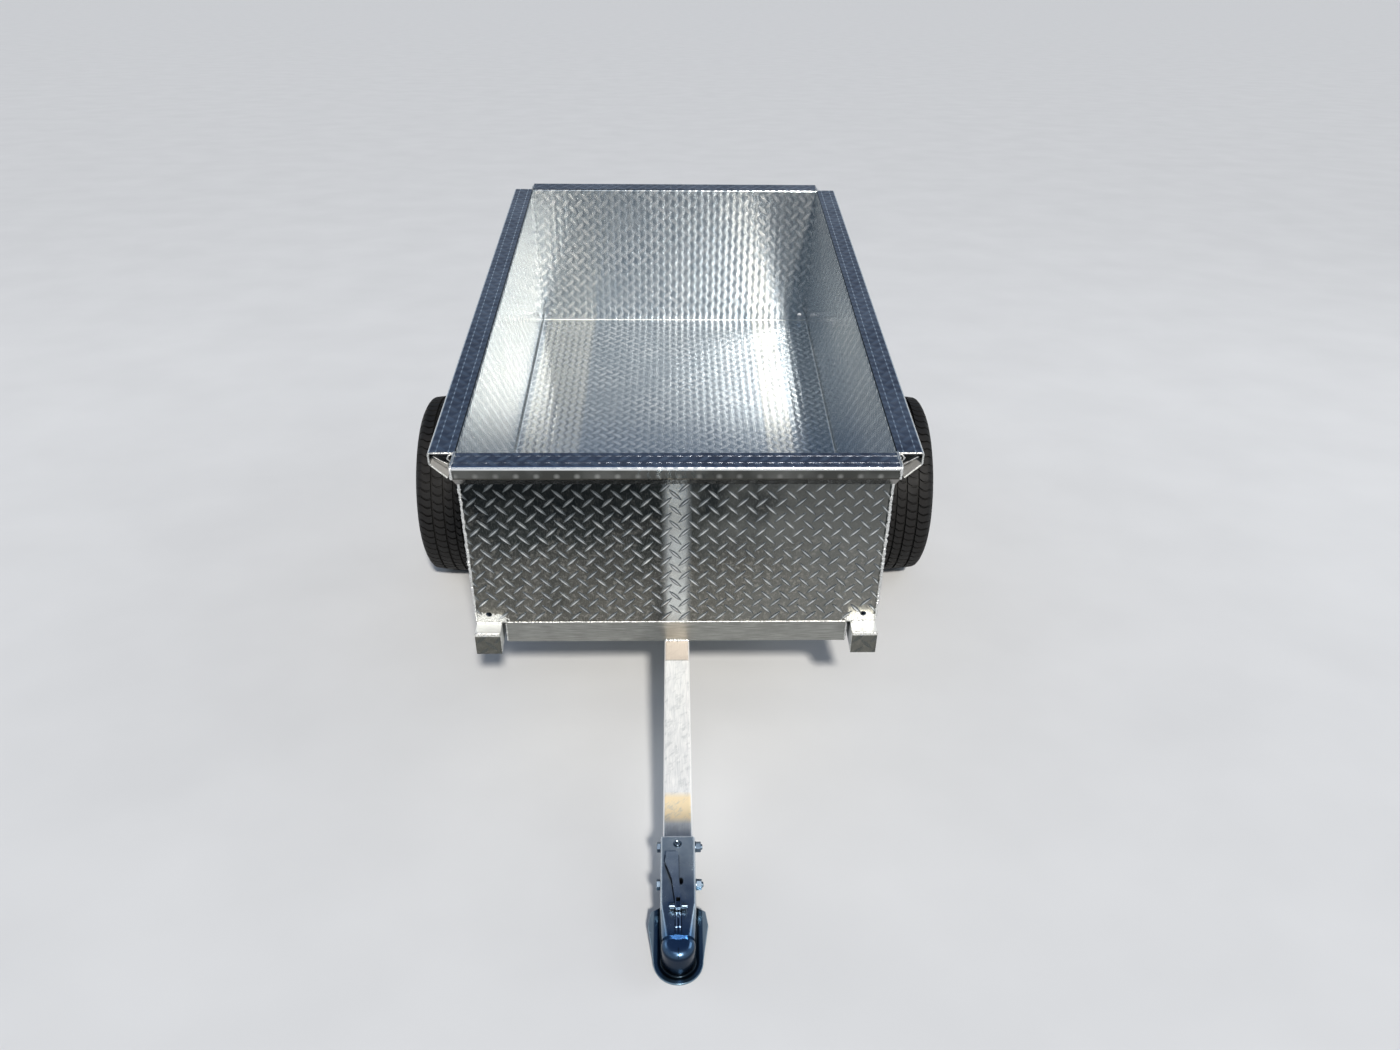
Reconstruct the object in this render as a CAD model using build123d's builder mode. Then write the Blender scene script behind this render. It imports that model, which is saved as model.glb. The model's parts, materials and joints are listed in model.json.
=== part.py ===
from build123d import *
import math
import os

# Garden trailer of folded tread plate on two wheels, parked nose-down on its coupler. Millimetres.
# It is modelled level: +X to the right seen from the front, +Y to the rear, +Z up, with the
# origin on the floor sheet's underside, in the middle of the front wall's outer face.
# Each piece is then moved by one turn and one shift to where the trailer rests on the ground.

os.makedirs("parts", exist_ok=True)

# Box
box_width = 812.8  # outside the side walls
box_length = 1422.4  # outside the end walls
box_height = 406.4  # floor underside to the top of the rails
sheet = 3.2  # tread plate
floor_fold = 6.0  # inside radius where the floor turns up into a side wall
floor_land = 22.0  # flat part of the folded side sheet, where it meets the floor sheet
relief_hole_radius = 6.0  # at each lower corner of an end wall
relief_hole_inset = 26.0
relief_hole_height = 21.0

# Formed rail round the top: out, down, then back in at a slope
rail_reach = 50.8
rail_lip = 25.4
rail_return_drop = 56.0  # top of the rail to the end of the sloping return
rail_return_end = 20.0  # end of the return, out from the wall
rail_bend = 4.8  # outside radius of the bends
crease_width = 1.6  # two press marks along each rail's top
crease_depth = 0.7
crease_inner = 15.0  # from the wall's inner face
crease_outer = 38.0

# Underframe
member = 50.8  # outside of the square tubes
member_wall = 3.2
member_nose = 38.1  # side members stand this far past the end walls
end_plate = 3.2
front_tube_gap = 7.6  # the front cross tube stops short of the side members
cross_tube_count = 4

# Tongue
tongue_wall = 4.8
tongue_corner = 5.0
tongue_past_bolt = 20.0  # front coupler bolt to the tube's front end, inside the coupler
tongue_rear = 1016.0  # front wall to the tube's rear end, under the box

# Axle and spindles
axle_back = 711.2  # front wall to the axle's centre
axle_pad_length = 76.2
axle_inset = 2.4  # axle tube's ends, in from the box's sides
spindle_plate = 6.4
spindle_radius = 12.7
spindle_length = 162.0
spindle_collar_radius = 19.0
spindle_collar = 26.0
running_gap = 0.05  # radial, hub on spindle and lever on pin

# Wheels
tyre_clear = 16.6  # box side to the tyre
tyre_radius = 228.6
tyre_half = 107.0  # half the section's width
tread_half = 86.0
tread_drop = 6.0  # crown to the tread's edge
tyre_thick = 9.0
rim_half = 89.0  # between the flanges, halved
rim_seat = 101.6
rim_flange = 12.5
rim_lip = 7.0
rim_bend = 3.5
rim_well = 86.0
rim_wall = 3.0
rim_disc = 3.2
disc_bore = 33.0
disc_flat = 64.0
disc_dish = 15.0
hub_flange_radius = 66.0
hub_flange = 8.0
hub_inner_radius = 31.0
hub_inner = 62.0
hub_outer_radius = 29.0
hub_outer = 34.0
stud_circle = 50.8
stud_count = 4
stud_radius = 6.0
stud_reach = 30.0
nut_across = 19.0
nut_tall = 16.0
cap_radius = 24.0
cap_tall = 20.0
cap_wall = 2.0
valve_radius = 5.5
valve_tall = 32.0

# Coupler; its places are measured back from the ball's centre
ball_back = 706.0  # front wall to the ball's centre
ball_radius = 23.8
socket_gap = 0.6
socket_wall = 2.6
coupler_reach = 200.0  # to the coupler's rear edge
coupler_taper = 66.0  # to where the channel starts to narrow
coupler_step = 8.0  # to the step between the channel's top and the dome
dome_step = 4.5  # channel's top down to the dome's top
dome_round = 14.0  # outside radius round the dome's top and at the step
coupler_wall = 3.4
coupler_gap = 0.4  # between the tongue and the channel
coupler_corner = 5.4  # outside radius along the channel's top
coupler_drop = 56.7  # tongue's top to the underside of the flange
flange_thick = 3.4
flange_round = 1.6
foot_round = 3.0  # where the wall turns out into the flange
flange_reach = 100.0  # to the flange's rear end
flange_wide_at = 65.0  # to the flange's widest place
flange_shoulder = 26.0  # widest place back to the corner where it starts to widen
flange_half_wide = 49.5
flange_front_radius = 40.0
rib_reach = 48.0  # to the rear end of the rib along the channel's top
rib_half_rear = 5.6
rib_half_front = 3.9
rib_tall = 3.0
rib_groove = 2.4
neck_reach = 22.0
neck_half = 5.4
neck_tall = 1.4
pin_hole_reach = 109.0  # to the safety pin's hole, beside the lever
pin_hole_aside = 4.8
pin_hole_length = 10.0
pin_hole_width = 5.0
bolt_radius = 4.75
bolt_first = 9.5  # coupler's rear edge to the rear bolt
bolt_pitch = 76.2
bolt_drop = 12.5  # tongue's top to the bolts
bolt_head_across = 14.3
bolt_head_tall = 6.4
bolt_nut_tall = 9.0
bolt_end = 5.0

# Ball clamp inside the coupler
clamp_half = 15.0
clamp_thick = 4.5
clamp_drop = 13.0  # ball's centre down to the clamp's upper face
clamp_behind = 12.0  # stud's centre to the clamp's rear edge
clamp_toe = 14.0  # ball's centre back to the clamp's front edge

# Latch lever on the coupler
latch_reach = 56.0  # ball's centre back to the stud and the lever's pin
stud_half = 3.1  # stud's flat head between the lever's arms
latch_stud_radius = 4.5
latch_nut_across = 14.0
latch_nut_tall = 6.5
pin_rise = 8.0  # channel's top to the pin's centre
pin_radius = 3.0
pin_half = 14.5
sleeve_radius = 4.6  # spacer each side of the lever, under the spring
sleeve_end = 13.0
head_half_long = 6.0
lever_sheet = 1.9
lever_clear = 4.0  # channel's top to the lever's underside
lever_depth = 8.5
lever_nose = 6.5  # ahead of the pin
fork_long = 13.0  # open top of the lever behind the pin
lever_stations = (  # behind the pin, left edge, right edge
    (-lever_nose, -5.3, 5.3),
    (fork_long, -5.3, 5.3),
    (28.0, -7.6, 3.2),
    (50.0, -10.0, 1.4),
    (85.0, -21.5, 1.0),
    (103.0, -19.5, 1.0),
)

# Heights that follow from the sizes above
tongue_top = -member
tongue_mid = tongue_top - member / 2
tongue_bottom = tongue_top - member
axle_height = tongue_bottom - member / 2
channel_half = member / 2 + coupler_gap + coupler_wall
channel_top = tongue_top + coupler_gap + coupler_wall
coupler_bottom = tongue_top - coupler_drop
socket_radius = ball_radius + socket_gap
dome_radius = socket_radius + socket_wall
dome_top = channel_top - dome_step
ball_height = dome_top - dome_radius
coupler_tip = ball_back + flange_front_radius
coupler_rear = ball_back - coupler_reach
bolt_places = (coupler_rear + bolt_first, coupler_rear + bolt_first + bolt_pitch)
bolt_height = tongue_top - bolt_drop
tongue_front = bolt_places[1] + tongue_past_bolt
axle_half = box_width / 2 - axle_inset
wheel_out = box_width / 2 + tyre_clear + tyre_half

# Parked pose: the tyres and the coupler's nose touch the ground
slope_run = axle_back + coupler_tip
slope_rise = axle_height - coupler_bottom
centre_line = math.atan2(slope_rise, slope_run)
nose_down = math.asin(tyre_radius / math.hypot(slope_run, slope_rise)) - centre_line


def turned(along, up):
    """Where a point of the level trailer's side view goes when it is turned nose-down."""
    return (
        along * math.cos(nose_down) - up * math.sin(nose_down),
        along * math.sin(nose_down) + up * math.cos(nose_down),
    )


ground = turned(-coupler_tip, coupler_bottom)[1]
front_reach = turned(-coupler_tip, coupler_bottom + flange_thick)[0]
rear_reach = turned(box_length + member_nose, -member)[0]
middle = (front_reach + rear_reach) / 2
parked = Location((0, -middle, -ground), (math.degrees(nose_down), 0, 0))


# Floor sheet, between the folded edges of the side sheets
with BuildPart() as floor_sheet:
    with Locations((0, box_length / 2, 0)):
        Box(
            box_width - 2 * floor_land,
            box_length - 2 * sheet,
            sheet,
            align=(Align.CENTER, Align.CENTER, Align.MIN),
        )
floor_sheet.part.label = "floor_sheet"
floor_sheet.part.move(parked)
export_step(floor_sheet.part, "parts/floor_sheet.step")


def rail_path(wall_face):
    """Corners of the formed rail, from the wall's inner face outwards along the rail's top."""
    outside = wall_face + sheet
    return [
        (wall_face, box_height),
        (outside + rail_reach, box_height),
        (outside + rail_reach, box_height - rail_lip),
        (outside + rail_return_end, box_height - rail_return_drop),
    ]


# Side sheets: floor edge, fold, wall and formed rail in one sheet; the rail runs the full length
inner_face = box_width / 2 - sheet
with BuildPart() as wall_right:
    with BuildSketch(Plane.XZ.offset(-sheet)):
        with BuildLine():
            FilletPolyline(
                [(box_width / 2 - floor_land, sheet), (inner_face, sheet)] + rail_path(inner_face),
                radius=[floor_fold, rail_bend, rail_bend, rail_bend],
            )
            offset(amount=sheet, side=Side.RIGHT)
        make_face()
    extrude(amount=-(box_length - 2 * sheet))
    with BuildSketch(Plane.XZ):
        with BuildLine():
            FilletPolyline(
                [(box_width / 2, box_height)] + rail_path(inner_face)[1:],
                radius=rail_bend,
            )
            offset(amount=sheet, side=Side.RIGHT)
        make_face()
    extrude(amount=-box_length)
    with BuildSketch(Plane.XZ):
        for crease in (crease_inner, crease_outer):
            with Locations((inner_face + crease, box_height)):
                Rectangle(crease_width, 2 * crease_depth)
    extrude(amount=-box_length, mode=Mode.SUBTRACT)
with BuildPart() as wall_left:
    mirror(wall_right.part, about=Plane.YZ)
wall_right.part.label = "wall_right"
wall_left.part.label = "wall_left"
wall_right.part.move(parked)
wall_left.part.move(parked)
export_step(wall_right.part, "parts/wall_right.step")
export_step(wall_left.part, "parts/wall_left.step")

# End sheets: wall and formed rail in one sheet, welded between floor and side walls
with BuildPart() as wall_rear:
    with BuildSketch(Plane.YZ.offset(-box_width / 2)):
        with BuildLine():
            FilletPolyline(
                [(box_length - sheet, 0)] + rail_path(box_length - sheet),
                radius=rail_bend,
            )
            offset(amount=sheet, side=Side.RIGHT)
        make_face()
    extrude(amount=box_width)
    with BuildSketch(Plane.YZ.offset(-box_width / 2)):
        for crease in (crease_inner, crease_outer):
            with Locations((box_length - sheet + crease, box_height)):
                Rectangle(crease_width, 2 * crease_depth)
    extrude(amount=box_width, mode=Mode.SUBTRACT)
    with BuildSketch(Plane.XZ.offset(-box_length)):
        with GridLocations(box_width - 2 * relief_hole_inset, 1, 2, 1):
            with Locations((0, relief_hole_height)):
                Circle(relief_hole_radius)
    extrude(amount=sheet, mode=Mode.SUBTRACT)
with BuildPart() as wall_front:
    mirror(wall_rear.part, about=Plane.XZ.offset(-box_length / 2))
wall_rear.part.label = "wall_rear"
wall_front.part.label = "wall_front"
wall_rear.part.move(parked)
wall_front.part.move(parked)
export_step(wall_rear.part, "parts/wall_rear.step")
export_step(wall_front.part, "parts/wall_front.step")

# Side members under the floor's edges, closed by a plate at each end
member_centre = box_width / 2 - member / 2
member_length = box_length + 2 * member_nose - 2 * end_plate
for side, sign in (("left", -1), ("right", 1)):
    with BuildPart() as side_member:
        with BuildSketch(Plane.XZ.offset(member_nose - end_plate)):
            with Locations((sign * member_centre, -member / 2)):
                Rectangle(member, member)
                Rectangle(member - 2 * member_wall, member - 2 * member_wall, mode=Mode.SUBTRACT)
        extrude(amount=-member_length)
    side_member.part.label = f"side_member_{side}"
    side_member.part.move(parked)
    export_step(side_member.part, f"parts/side_member_{side}.step")

with BuildPart() as member_end_plates:
    with BuildSketch(Plane.XZ.offset(member_nose)):
        with Locations((member_centre, -member / 2), (-member_centre, -member / 2)):
            Rectangle(member, member)
    extrude(amount=-end_plate)
    mirror(about=Plane.XZ.offset(-box_length / 2))
member_end_plates.part.label = "member_end_plates"
member_end_plates.part.move(parked)
export_step(member_end_plates.part, "parts/member_end_plates.step")

# Cross tubes under the floor; the first one shows below the front wall and stops short
inner_width = box_width - 2 * member
tube_step = (box_length - member) / (cross_tube_count - 1)
for number in range(cross_tube_count):
    tube_length = inner_width
    if number == 0:
        tube_length = inner_width - 2 * front_tube_gap
    with BuildPart() as cross_tube:
        with BuildSketch(Plane.YZ.offset(-tube_length / 2)):
            with Locations((member / 2 + number * tube_step, -member / 2)):
                Rectangle(member, member)
                Rectangle(member - 2 * member_wall, member - 2 * member_wall, mode=Mode.SUBTRACT)
        extrude(amount=tube_length)
    cross_tube.part.label = f"cross_tube_{number + 1}"
    cross_tube.part.move(parked)
    export_step(cross_tube.part, f"parts/cross_tube_{number + 1}.step")

# Tongue tube, under the cross tubes and over the axle
with BuildPart() as tongue_tube:
    with BuildSketch(Plane.XZ.offset(tongue_front)):
        with Locations((0, tongue_mid)):
            RectangleRounded(member, member, tongue_corner)
            Rectangle(member - 2 * tongue_wall, member - 2 * tongue_wall, mode=Mode.SUBTRACT)
    extrude(amount=-(tongue_front + tongue_rear))
    with BuildSketch(Plane.YZ.offset(-member)):
        for place in bolt_places:
            with Locations((-place, bolt_height)):
                Circle(bolt_radius + coupler_gap)
    extrude(amount=2 * member, mode=Mode.SUBTRACT)
tongue_tube.part.label = "tongue_tube"
tongue_tube.part.move(parked)
export_step(tongue_tube.part, "parts/tongue_tube.step")

# Axle tube, and the short tubes that stand it off the side members
with BuildPart() as axle_tube:
    with BuildSketch(Plane.YZ.offset(-axle_half)):
        with Locations((axle_back, axle_height)):
            Rectangle(member, member)
            Rectangle(member - 2 * member_wall, member - 2 * member_wall, mode=Mode.SUBTRACT)
    extrude(amount=2 * axle_half)
axle_tube.part.label = "axle_tube"
axle_tube.part.move(parked)
export_step(axle_tube.part, "parts/axle_tube.step")

for side, sign in (("left", -1), ("right", 1)):
    with BuildPart() as axle_pad:
        with BuildSketch(Plane.XZ.offset(-axle_back + axle_pad_length / 2)):
            with Locations((sign * member_centre, tongue_mid)):
                Rectangle(member, member)
                Rectangle(member - 2 * member_wall, member - 2 * member_wall, mode=Mode.SUBTRACT)
        extrude(amount=-axle_pad_length)
    axle_pad.part.label = f"axle_pad_{side}"
    axle_pad.part.move(parked)
    export_step(axle_pad.part, f"parts/axle_pad_{side}.step")

# Wheels and what carries them: made for the right side and mirrored for the left
wheel_centre = (wheel_out, axle_back, axle_height)
wheel_axis = Axis(wheel_centre, (1, 0, 0))
wheel_section = Plane(origin=wheel_centre, x_dir=(1, 0, 0), z_dir=(0, 0, 1))
wheel_face = Plane(origin=wheel_centre, x_dir=(0, 1, 0), z_dir=(1, 0, 0))
axle_end = axle_half - wheel_out  # the axle tube's end, along the wheel's own axis
spindle_end = axle_end + spindle_plate + spindle_length

with BuildPart() as spindle_right:
    with BuildSketch(wheel_face.offset(axle_end)):
        Rectangle(member, member)
    extrude(amount=spindle_plate)
    with BuildSketch(wheel_face.offset(axle_end + spindle_plate)):
        Circle(spindle_collar_radius)
    extrude(amount=spindle_collar)
    with BuildSketch(wheel_face.offset(axle_end + spindle_plate)):
        Circle(spindle_radius)
    extrude(amount=spindle_length)

with BuildPart() as hub_right:
    with BuildSketch(wheel_face.offset(-hub_flange)):
        Circle(hub_flange_radius)
    extrude(amount=hub_flange)
    with BuildSketch(wheel_face.offset(-hub_flange)):
        Circle(hub_inner_radius)
    extrude(amount=-hub_inner)
    with BuildSketch(wheel_face):
        Circle(hub_outer_radius)
    extrude(amount=hub_outer)
    with BuildSketch(wheel_face):
        with PolarLocations(stud_circle, stud_count, start_angle=45):
            Circle(stud_radius)
    extrude(amount=stud_reach)
    with BuildSketch(wheel_face.offset(-hub_flange - hub_inner)):
        Circle(spindle_radius + running_gap)
    extrude(amount=hub_inner + hub_flange + hub_outer, mode=Mode.SUBTRACT)

with BuildPart() as hub_cap_right:
    with BuildSketch(wheel_face.offset(hub_outer)):
        Circle(cap_radius)
    extrude(amount=cap_tall)
    fillet(hub_cap_right.faces().sort_by(Axis.X)[-1].edges(), cap_radius / 3)
    offset(amount=-cap_wall, openings=hub_cap_right.faces().sort_by(Axis.X)[0])

with BuildPart() as rim_right:
    with BuildSketch(wheel_section):
        with BuildLine():
            FilletPolyline(
                (-rim_half - rim_lip, rim_seat + rim_flange),
                (-rim_half, rim_seat + rim_flange),
                (-rim_half, rim_seat),
                (-rim_half * 0.68, rim_seat),
                (-rim_half * 0.55, rim_well),
                (rim_half * 0.35, rim_well),
                (rim_half * 0.48, rim_seat),
                (rim_half, rim_seat),
                (rim_half, rim_seat + rim_flange),
                (rim_half + rim_lip, rim_seat + rim_flange),
                radius=rim_bend,
            )
            offset(amount=rim_wall, side=Side.RIGHT)
        make_face()
        with BuildLine():
            FilletPolyline(
                (0, disc_bore),
                (0, disc_flat),
                (disc_dish, disc_flat + disc_dish / 2),
                (disc_dish, rim_well - rim_wall - rim_disc),
                (-disc_dish / 2, rim_well - rim_wall - rim_disc),
                radius=rim_bend,
            )
            offset(amount=rim_disc, side=Side.RIGHT)
        make_face()
    revolve(axis=wheel_axis)
    with BuildSketch(wheel_face):
        with PolarLocations(stud_circle, stud_count, start_angle=45):
            Circle(stud_radius + 0.6)
    extrude(amount=rim_disc, mode=Mode.SUBTRACT)

with BuildPart() as wheel_nuts_right:
    with BuildSketch(wheel_face.offset(rim_disc)):
        with PolarLocations(stud_circle, stud_count, start_angle=45):
            RegularPolygon(nut_across / 2, 6, major_radius=False)
            Circle(stud_radius + running_gap, mode=Mode.SUBTRACT)
    extrude(amount=nut_tall)

with BuildPart() as tyre_right:
    with BuildSketch(wheel_section):
        with BuildLine():
            bead = rim_seat + rim_flange
            wide = (bead + tyre_radius) / 2
            shoulder = tyre_radius - tread_drop
            Polyline(
                (rim_half, bead),
                (rim_half, rim_seat + rim_bend),
                (rim_half - rim_bend, rim_seat),
                (rim_half - tyre_thick * 2, rim_seat),
            )
            ThreePointArc(
                (rim_half, bead),
                (tyre_half, wide),
                (tread_half, shoulder),
            )
            ThreePointArc((tread_half, shoulder), (0, tyre_radius), (-tread_half, shoulder))
            ThreePointArc(
                (-tread_half, shoulder),
                (-tyre_half, wide),
                (-rim_half, bead),
            )
            Polyline(
                (-rim_half, bead),
                (-rim_half, rim_seat + rim_bend),
                (-rim_half + rim_bend, rim_seat),
                (-rim_half + tyre_thick * 2, rim_seat),
            )
            ThreePointArc(
                (-rim_half + tyre_thick * 2, rim_seat),
                (-tyre_half + tyre_thick, wide),
                (-tread_half + tyre_thick, shoulder - tyre_thick),
            )
            ThreePointArc(
                (-tread_half + tyre_thick, shoulder - tyre_thick),
                (0, tyre_radius - tyre_thick * 1.2),
                (tread_half - tyre_thick, shoulder - tyre_thick),
            )
            ThreePointArc(
                (tread_half - tyre_thick, shoulder - tyre_thick),
                (tyre_half - tyre_thick, wide),
                (rim_half - tyre_thick * 2, rim_seat),
            )
        make_face()
    revolve(axis=wheel_axis)

with BuildPart() as valve_right:
    with BuildSketch(wheel_face.offset(disc_dish + rim_disc)):
        with Locations((0, rim_well - rim_wall - rim_disc - valve_radius - 1)):
            Circle(valve_radius)
    extrude(amount=valve_tall)

for piece, name in (
    (spindle_right, "spindle"),
    (hub_right, "hub"),
    (hub_cap_right, "hub_cap"),
    (rim_right, "rim"),
    (wheel_nuts_right, "wheel_nuts"),
    (tyre_right, "tyre"),
    (valve_right, "valve"),
):
    with BuildPart() as left_piece:
        mirror(piece.part, about=Plane.YZ)
    left_piece.part.label = f"{name}_left"
    left_piece.part.move(parked)
    export_step(left_piece.part, f"parts/{name}_left.step")
    piece.part.label = f"{name}_right"
    piece.part.move(parked)
    export_step(piece.part, f"parts/{name}_right.step")

# Coupler: one pressed shell, a channel over the tongue that narrows to a domed socket,
# with a flange round its lower edge
coupler_tall = channel_top - coupler_bottom
step_half = math.sqrt(dome_radius**2 - coupler_step**2)
with BuildPart() as dome:
    with Locations((0, -ball_back, coupler_bottom)):
        Cylinder(
            dome_radius,
            dome_top - coupler_bottom,
            align=(Align.CENTER, Align.CENTER, Align.MIN),
        )
    fillet(dome.edges().sort_by(Axis.Z)[-1], dome_round)


def channel_section(half, top, corner):
    """Upright section of the channel with its two upper corners rounded."""
    with Locations((0, (coupler_bottom + top) / 2)):
        section = Rectangle(2 * half, top - coupler_bottom)
    fillet(section.vertices().group_by(Axis.Y)[-1], corner)


def edges_at(piece, height):
    """Edges of a piece that lie flat at one height."""
    return piece.edges().filter_by_position(Axis.Z, height - 0.01, height + 0.01)


def beside_wall(edge):
    """True for the edges where the coupler's wall stands on its flange."""
    middle_point = edge.position_at(0.5)
    behind_front = middle_point.Y > -ball_back - dome_radius - foot_round
    return behind_front and abs(middle_point.X) < channel_half + foot_round


def on_flange_rim(edge):
    """True for the edges round the outside of the flange."""
    middle_point = edge.position_at(0.5)
    return abs(middle_point.X) > flange_front_radius or middle_point.Y < -coupler_tip + foot_round


flange_top = coupler_bottom + flange_thick
with BuildPart() as coupler_body:
    with BuildSketch(Plane.XZ.offset(coupler_rear)):
        channel_section(channel_half, channel_top, coupler_corner)
    extrude(amount=coupler_reach - coupler_taper)
    with BuildSketch(Plane.XZ.offset(ball_back - coupler_taper)):
        channel_section(channel_half, channel_top, coupler_corner)
    with BuildSketch(Plane.XZ.offset(ball_back - coupler_step)):
        channel_section(step_half, channel_top, dome_round)
    loft()
    add(dome.part)
    with BuildSketch(Plane.XY.offset(coupler_bottom)):
        with BuildLine():
            Polyline(
                (flange_front_radius, -ball_back),
                (flange_half_wide, -ball_back + flange_wide_at),
                (flange_half_wide - 4, -ball_back + flange_wide_at + flange_shoulder),
                (channel_half - 1, -ball_back + flange_reach),
                (-channel_half + 1, -ball_back + flange_reach),
                (-flange_half_wide + 4, -ball_back + flange_wide_at + flange_shoulder),
                (-flange_half_wide, -ball_back + flange_wide_at),
                (-flange_front_radius, -ball_back),
            )
            ThreePointArc(
                (-flange_front_radius, -ball_back),
                (0, -coupler_tip),
                (flange_front_radius, -ball_back),
            )
        make_face()
    extrude(amount=flange_thick)
    fillet(edges_at(coupler_body, flange_top).filter_by(beside_wall), foot_round)
    fillet(edges_at(coupler_body, flange_top).filter_by(on_flange_rim), flange_round)
    with BuildSketch(Plane.XY.offset(channel_top)):
        with BuildLine():
            Polyline(
                (-rib_half_rear, -ball_back + rib_reach),
                (rib_half_rear, -ball_back + rib_reach),
                (rib_half_front, -ball_back + neck_reach),
                (-rib_half_front, -ball_back + neck_reach),
                close=True,
            )
        make_face()
        with Locations((0, -ball_back + (rib_reach + neck_reach) / 2)):
            Rectangle(rib_groove, rib_reach - neck_reach - 2 * rib_groove, mode=Mode.SUBTRACT)
    extrude(amount=rib_tall)
    with Locations((0, -ball_back + coupler_step, channel_top)):
        Box(
            2 * neck_half,
            neck_reach - coupler_step,
            neck_tall,
            align=(Align.CENTER, Align.MIN, Align.MIN),
        )
    inner_top = channel_top - coupler_wall
    inner_half = channel_half - coupler_wall
    with BuildSketch(Plane.XZ.offset(coupler_rear)):
        channel_section(inner_half, inner_top, coupler_corner - coupler_wall)
    extrude(amount=coupler_reach - coupler_taper, mode=Mode.SUBTRACT)
    with BuildSketch(Plane.XZ.offset(ball_back - coupler_taper)):
        channel_section(inner_half, inner_top, coupler_corner - coupler_wall)
    with BuildSketch(Plane.XZ.offset(ball_back - coupler_step - socket_wall)):
        channel_section(step_half - coupler_wall, inner_top, dome_round - coupler_wall)
    loft(mode=Mode.SUBTRACT)
    with Locations((0, -ball_back, ball_height)):
        Sphere(socket_radius, mode=Mode.SUBTRACT)
    with BuildSketch(Plane.XY.offset(coupler_bottom)):
        with Locations((0, -ball_back)):
            Circle(socket_radius)
    extrude(amount=ball_height - coupler_bottom, mode=Mode.SUBTRACT)
    with BuildSketch(Plane.YZ.offset(-member)):
        for place in bolt_places:
            with Locations((-place, bolt_height)):
                Circle(bolt_radius + coupler_gap)
    extrude(amount=2 * member, mode=Mode.SUBTRACT)
    with BuildSketch(Plane.XY.offset(channel_top)):
        with Locations((pin_hole_aside, -ball_back + pin_hole_reach)):
            SlotOverall(pin_hole_length, pin_hole_width, rotation=90)
        with Locations((0, -ball_back + latch_reach)):
            Circle(latch_stud_radius + coupler_gap)
    extrude(amount=-2 * coupler_wall, mode=Mode.SUBTRACT)
coupler_body.part.label = "coupler_body"
coupler_body.part.move(parked)
export_step(coupler_body.part, "parts/coupler_body.step")

# Two bolts through coupler and tongue, head on the left and nut on the right
for name, place in (("rear", bolt_places[0]), ("front", bolt_places[1])):
    with BuildPart() as coupler_bolt:
        with BuildSketch(Plane.YZ.offset(-channel_half)):
            with Locations((-place, bolt_height)):
                Circle(bolt_radius)
        extrude(amount=2 * channel_half + bolt_nut_tall + bolt_end)
        with BuildSketch(Plane.YZ.offset(-channel_half - bolt_head_tall)):
            with Locations((-place, bolt_height)):
                RegularPolygon(bolt_head_across / 2, 6, major_radius=False)
        extrude(amount=bolt_head_tall)
        with BuildSketch(Plane.YZ.offset(channel_half)):
            with Locations((-place, bolt_height)):
                RegularPolygon(bolt_head_across / 2, 6, major_radius=False)
        extrude(amount=bolt_nut_tall)
    coupler_bolt.part.label = f"coupler_bolt_{name}"
    coupler_bolt.part.move(parked)
    export_step(coupler_bolt.part, f"parts/coupler_bolt_{name}.step")

# Ball clamp: a strip under the ball's rear, hollowed to the ball, held up by the latch stud
latch_back = ball_back - latch_reach
clamp_top = ball_height - clamp_drop
with BuildPart() as ball_clamp:
    with Locations((0, -latch_back + clamp_behind, clamp_top)):
        Box(
            2 * clamp_half,
            latch_reach + clamp_behind - clamp_toe,
            clamp_thick,
            align=(Align.CENTER, Align.MAX, Align.MAX),
        )
    fillet(ball_clamp.edges().filter_by(Axis.Z).sort_by(Axis.Y)[-2:], clamp_thick)
    with Locations((0, -ball_back, ball_height)):
        Sphere(socket_radius, mode=Mode.SUBTRACT)
    with BuildSketch(Plane.XY.offset(clamp_top)):
        with Locations((0, -latch_back)):
            Circle(latch_stud_radius + coupler_gap)
    extrude(amount=-clamp_thick, mode=Mode.SUBTRACT)
ball_clamp.part.label = "ball_clamp"
ball_clamp.part.move(parked)
export_step(ball_clamp.part, "parts/ball_clamp.step")

# Latch stud: nut under the clamp, stud through the channel's top, flat head with the lever's pin
pin_height = channel_top + pin_rise
clamp_bottom = clamp_top - clamp_thick
with BuildPart() as latch_stud:
    with BuildSketch(Plane.XY.offset(clamp_bottom)):
        with Locations((0, -latch_back)):
            RegularPolygon(latch_nut_across / 2, 6, major_radius=False)
    extrude(amount=-latch_nut_tall)
    with BuildSketch(Plane.XY.offset(clamp_bottom)):
        with Locations((0, -latch_back)):
            Circle(latch_stud_radius)
    extrude(amount=channel_top - clamp_bottom)
    with Locations((0, -latch_back, channel_top)):
        Box(
            2 * stud_half,
            2 * head_half_long,
            pin_rise + pin_radius + 1,
            align=(Align.CENTER, Align.CENTER, Align.MIN),
        )
    with BuildSketch(Plane.YZ.offset(-pin_half)):
        with Locations((-latch_back, pin_height)):
            Circle(pin_radius)
    extrude(amount=2 * pin_half)
    sleeve_start = lever_stations[0][2] + coupler_gap
    for start in (-sleeve_end, sleeve_start):
        with BuildSketch(Plane.YZ.offset(start)):
            with Locations((-latch_back, pin_height)):
                Circle(sleeve_radius)
        extrude(amount=sleeve_end - sleeve_start)
latch_stud.part.label = "latch_stud"
latch_stud.part.move(parked)
export_step(latch_stud.part, "parts/latch_stud.step")

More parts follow.
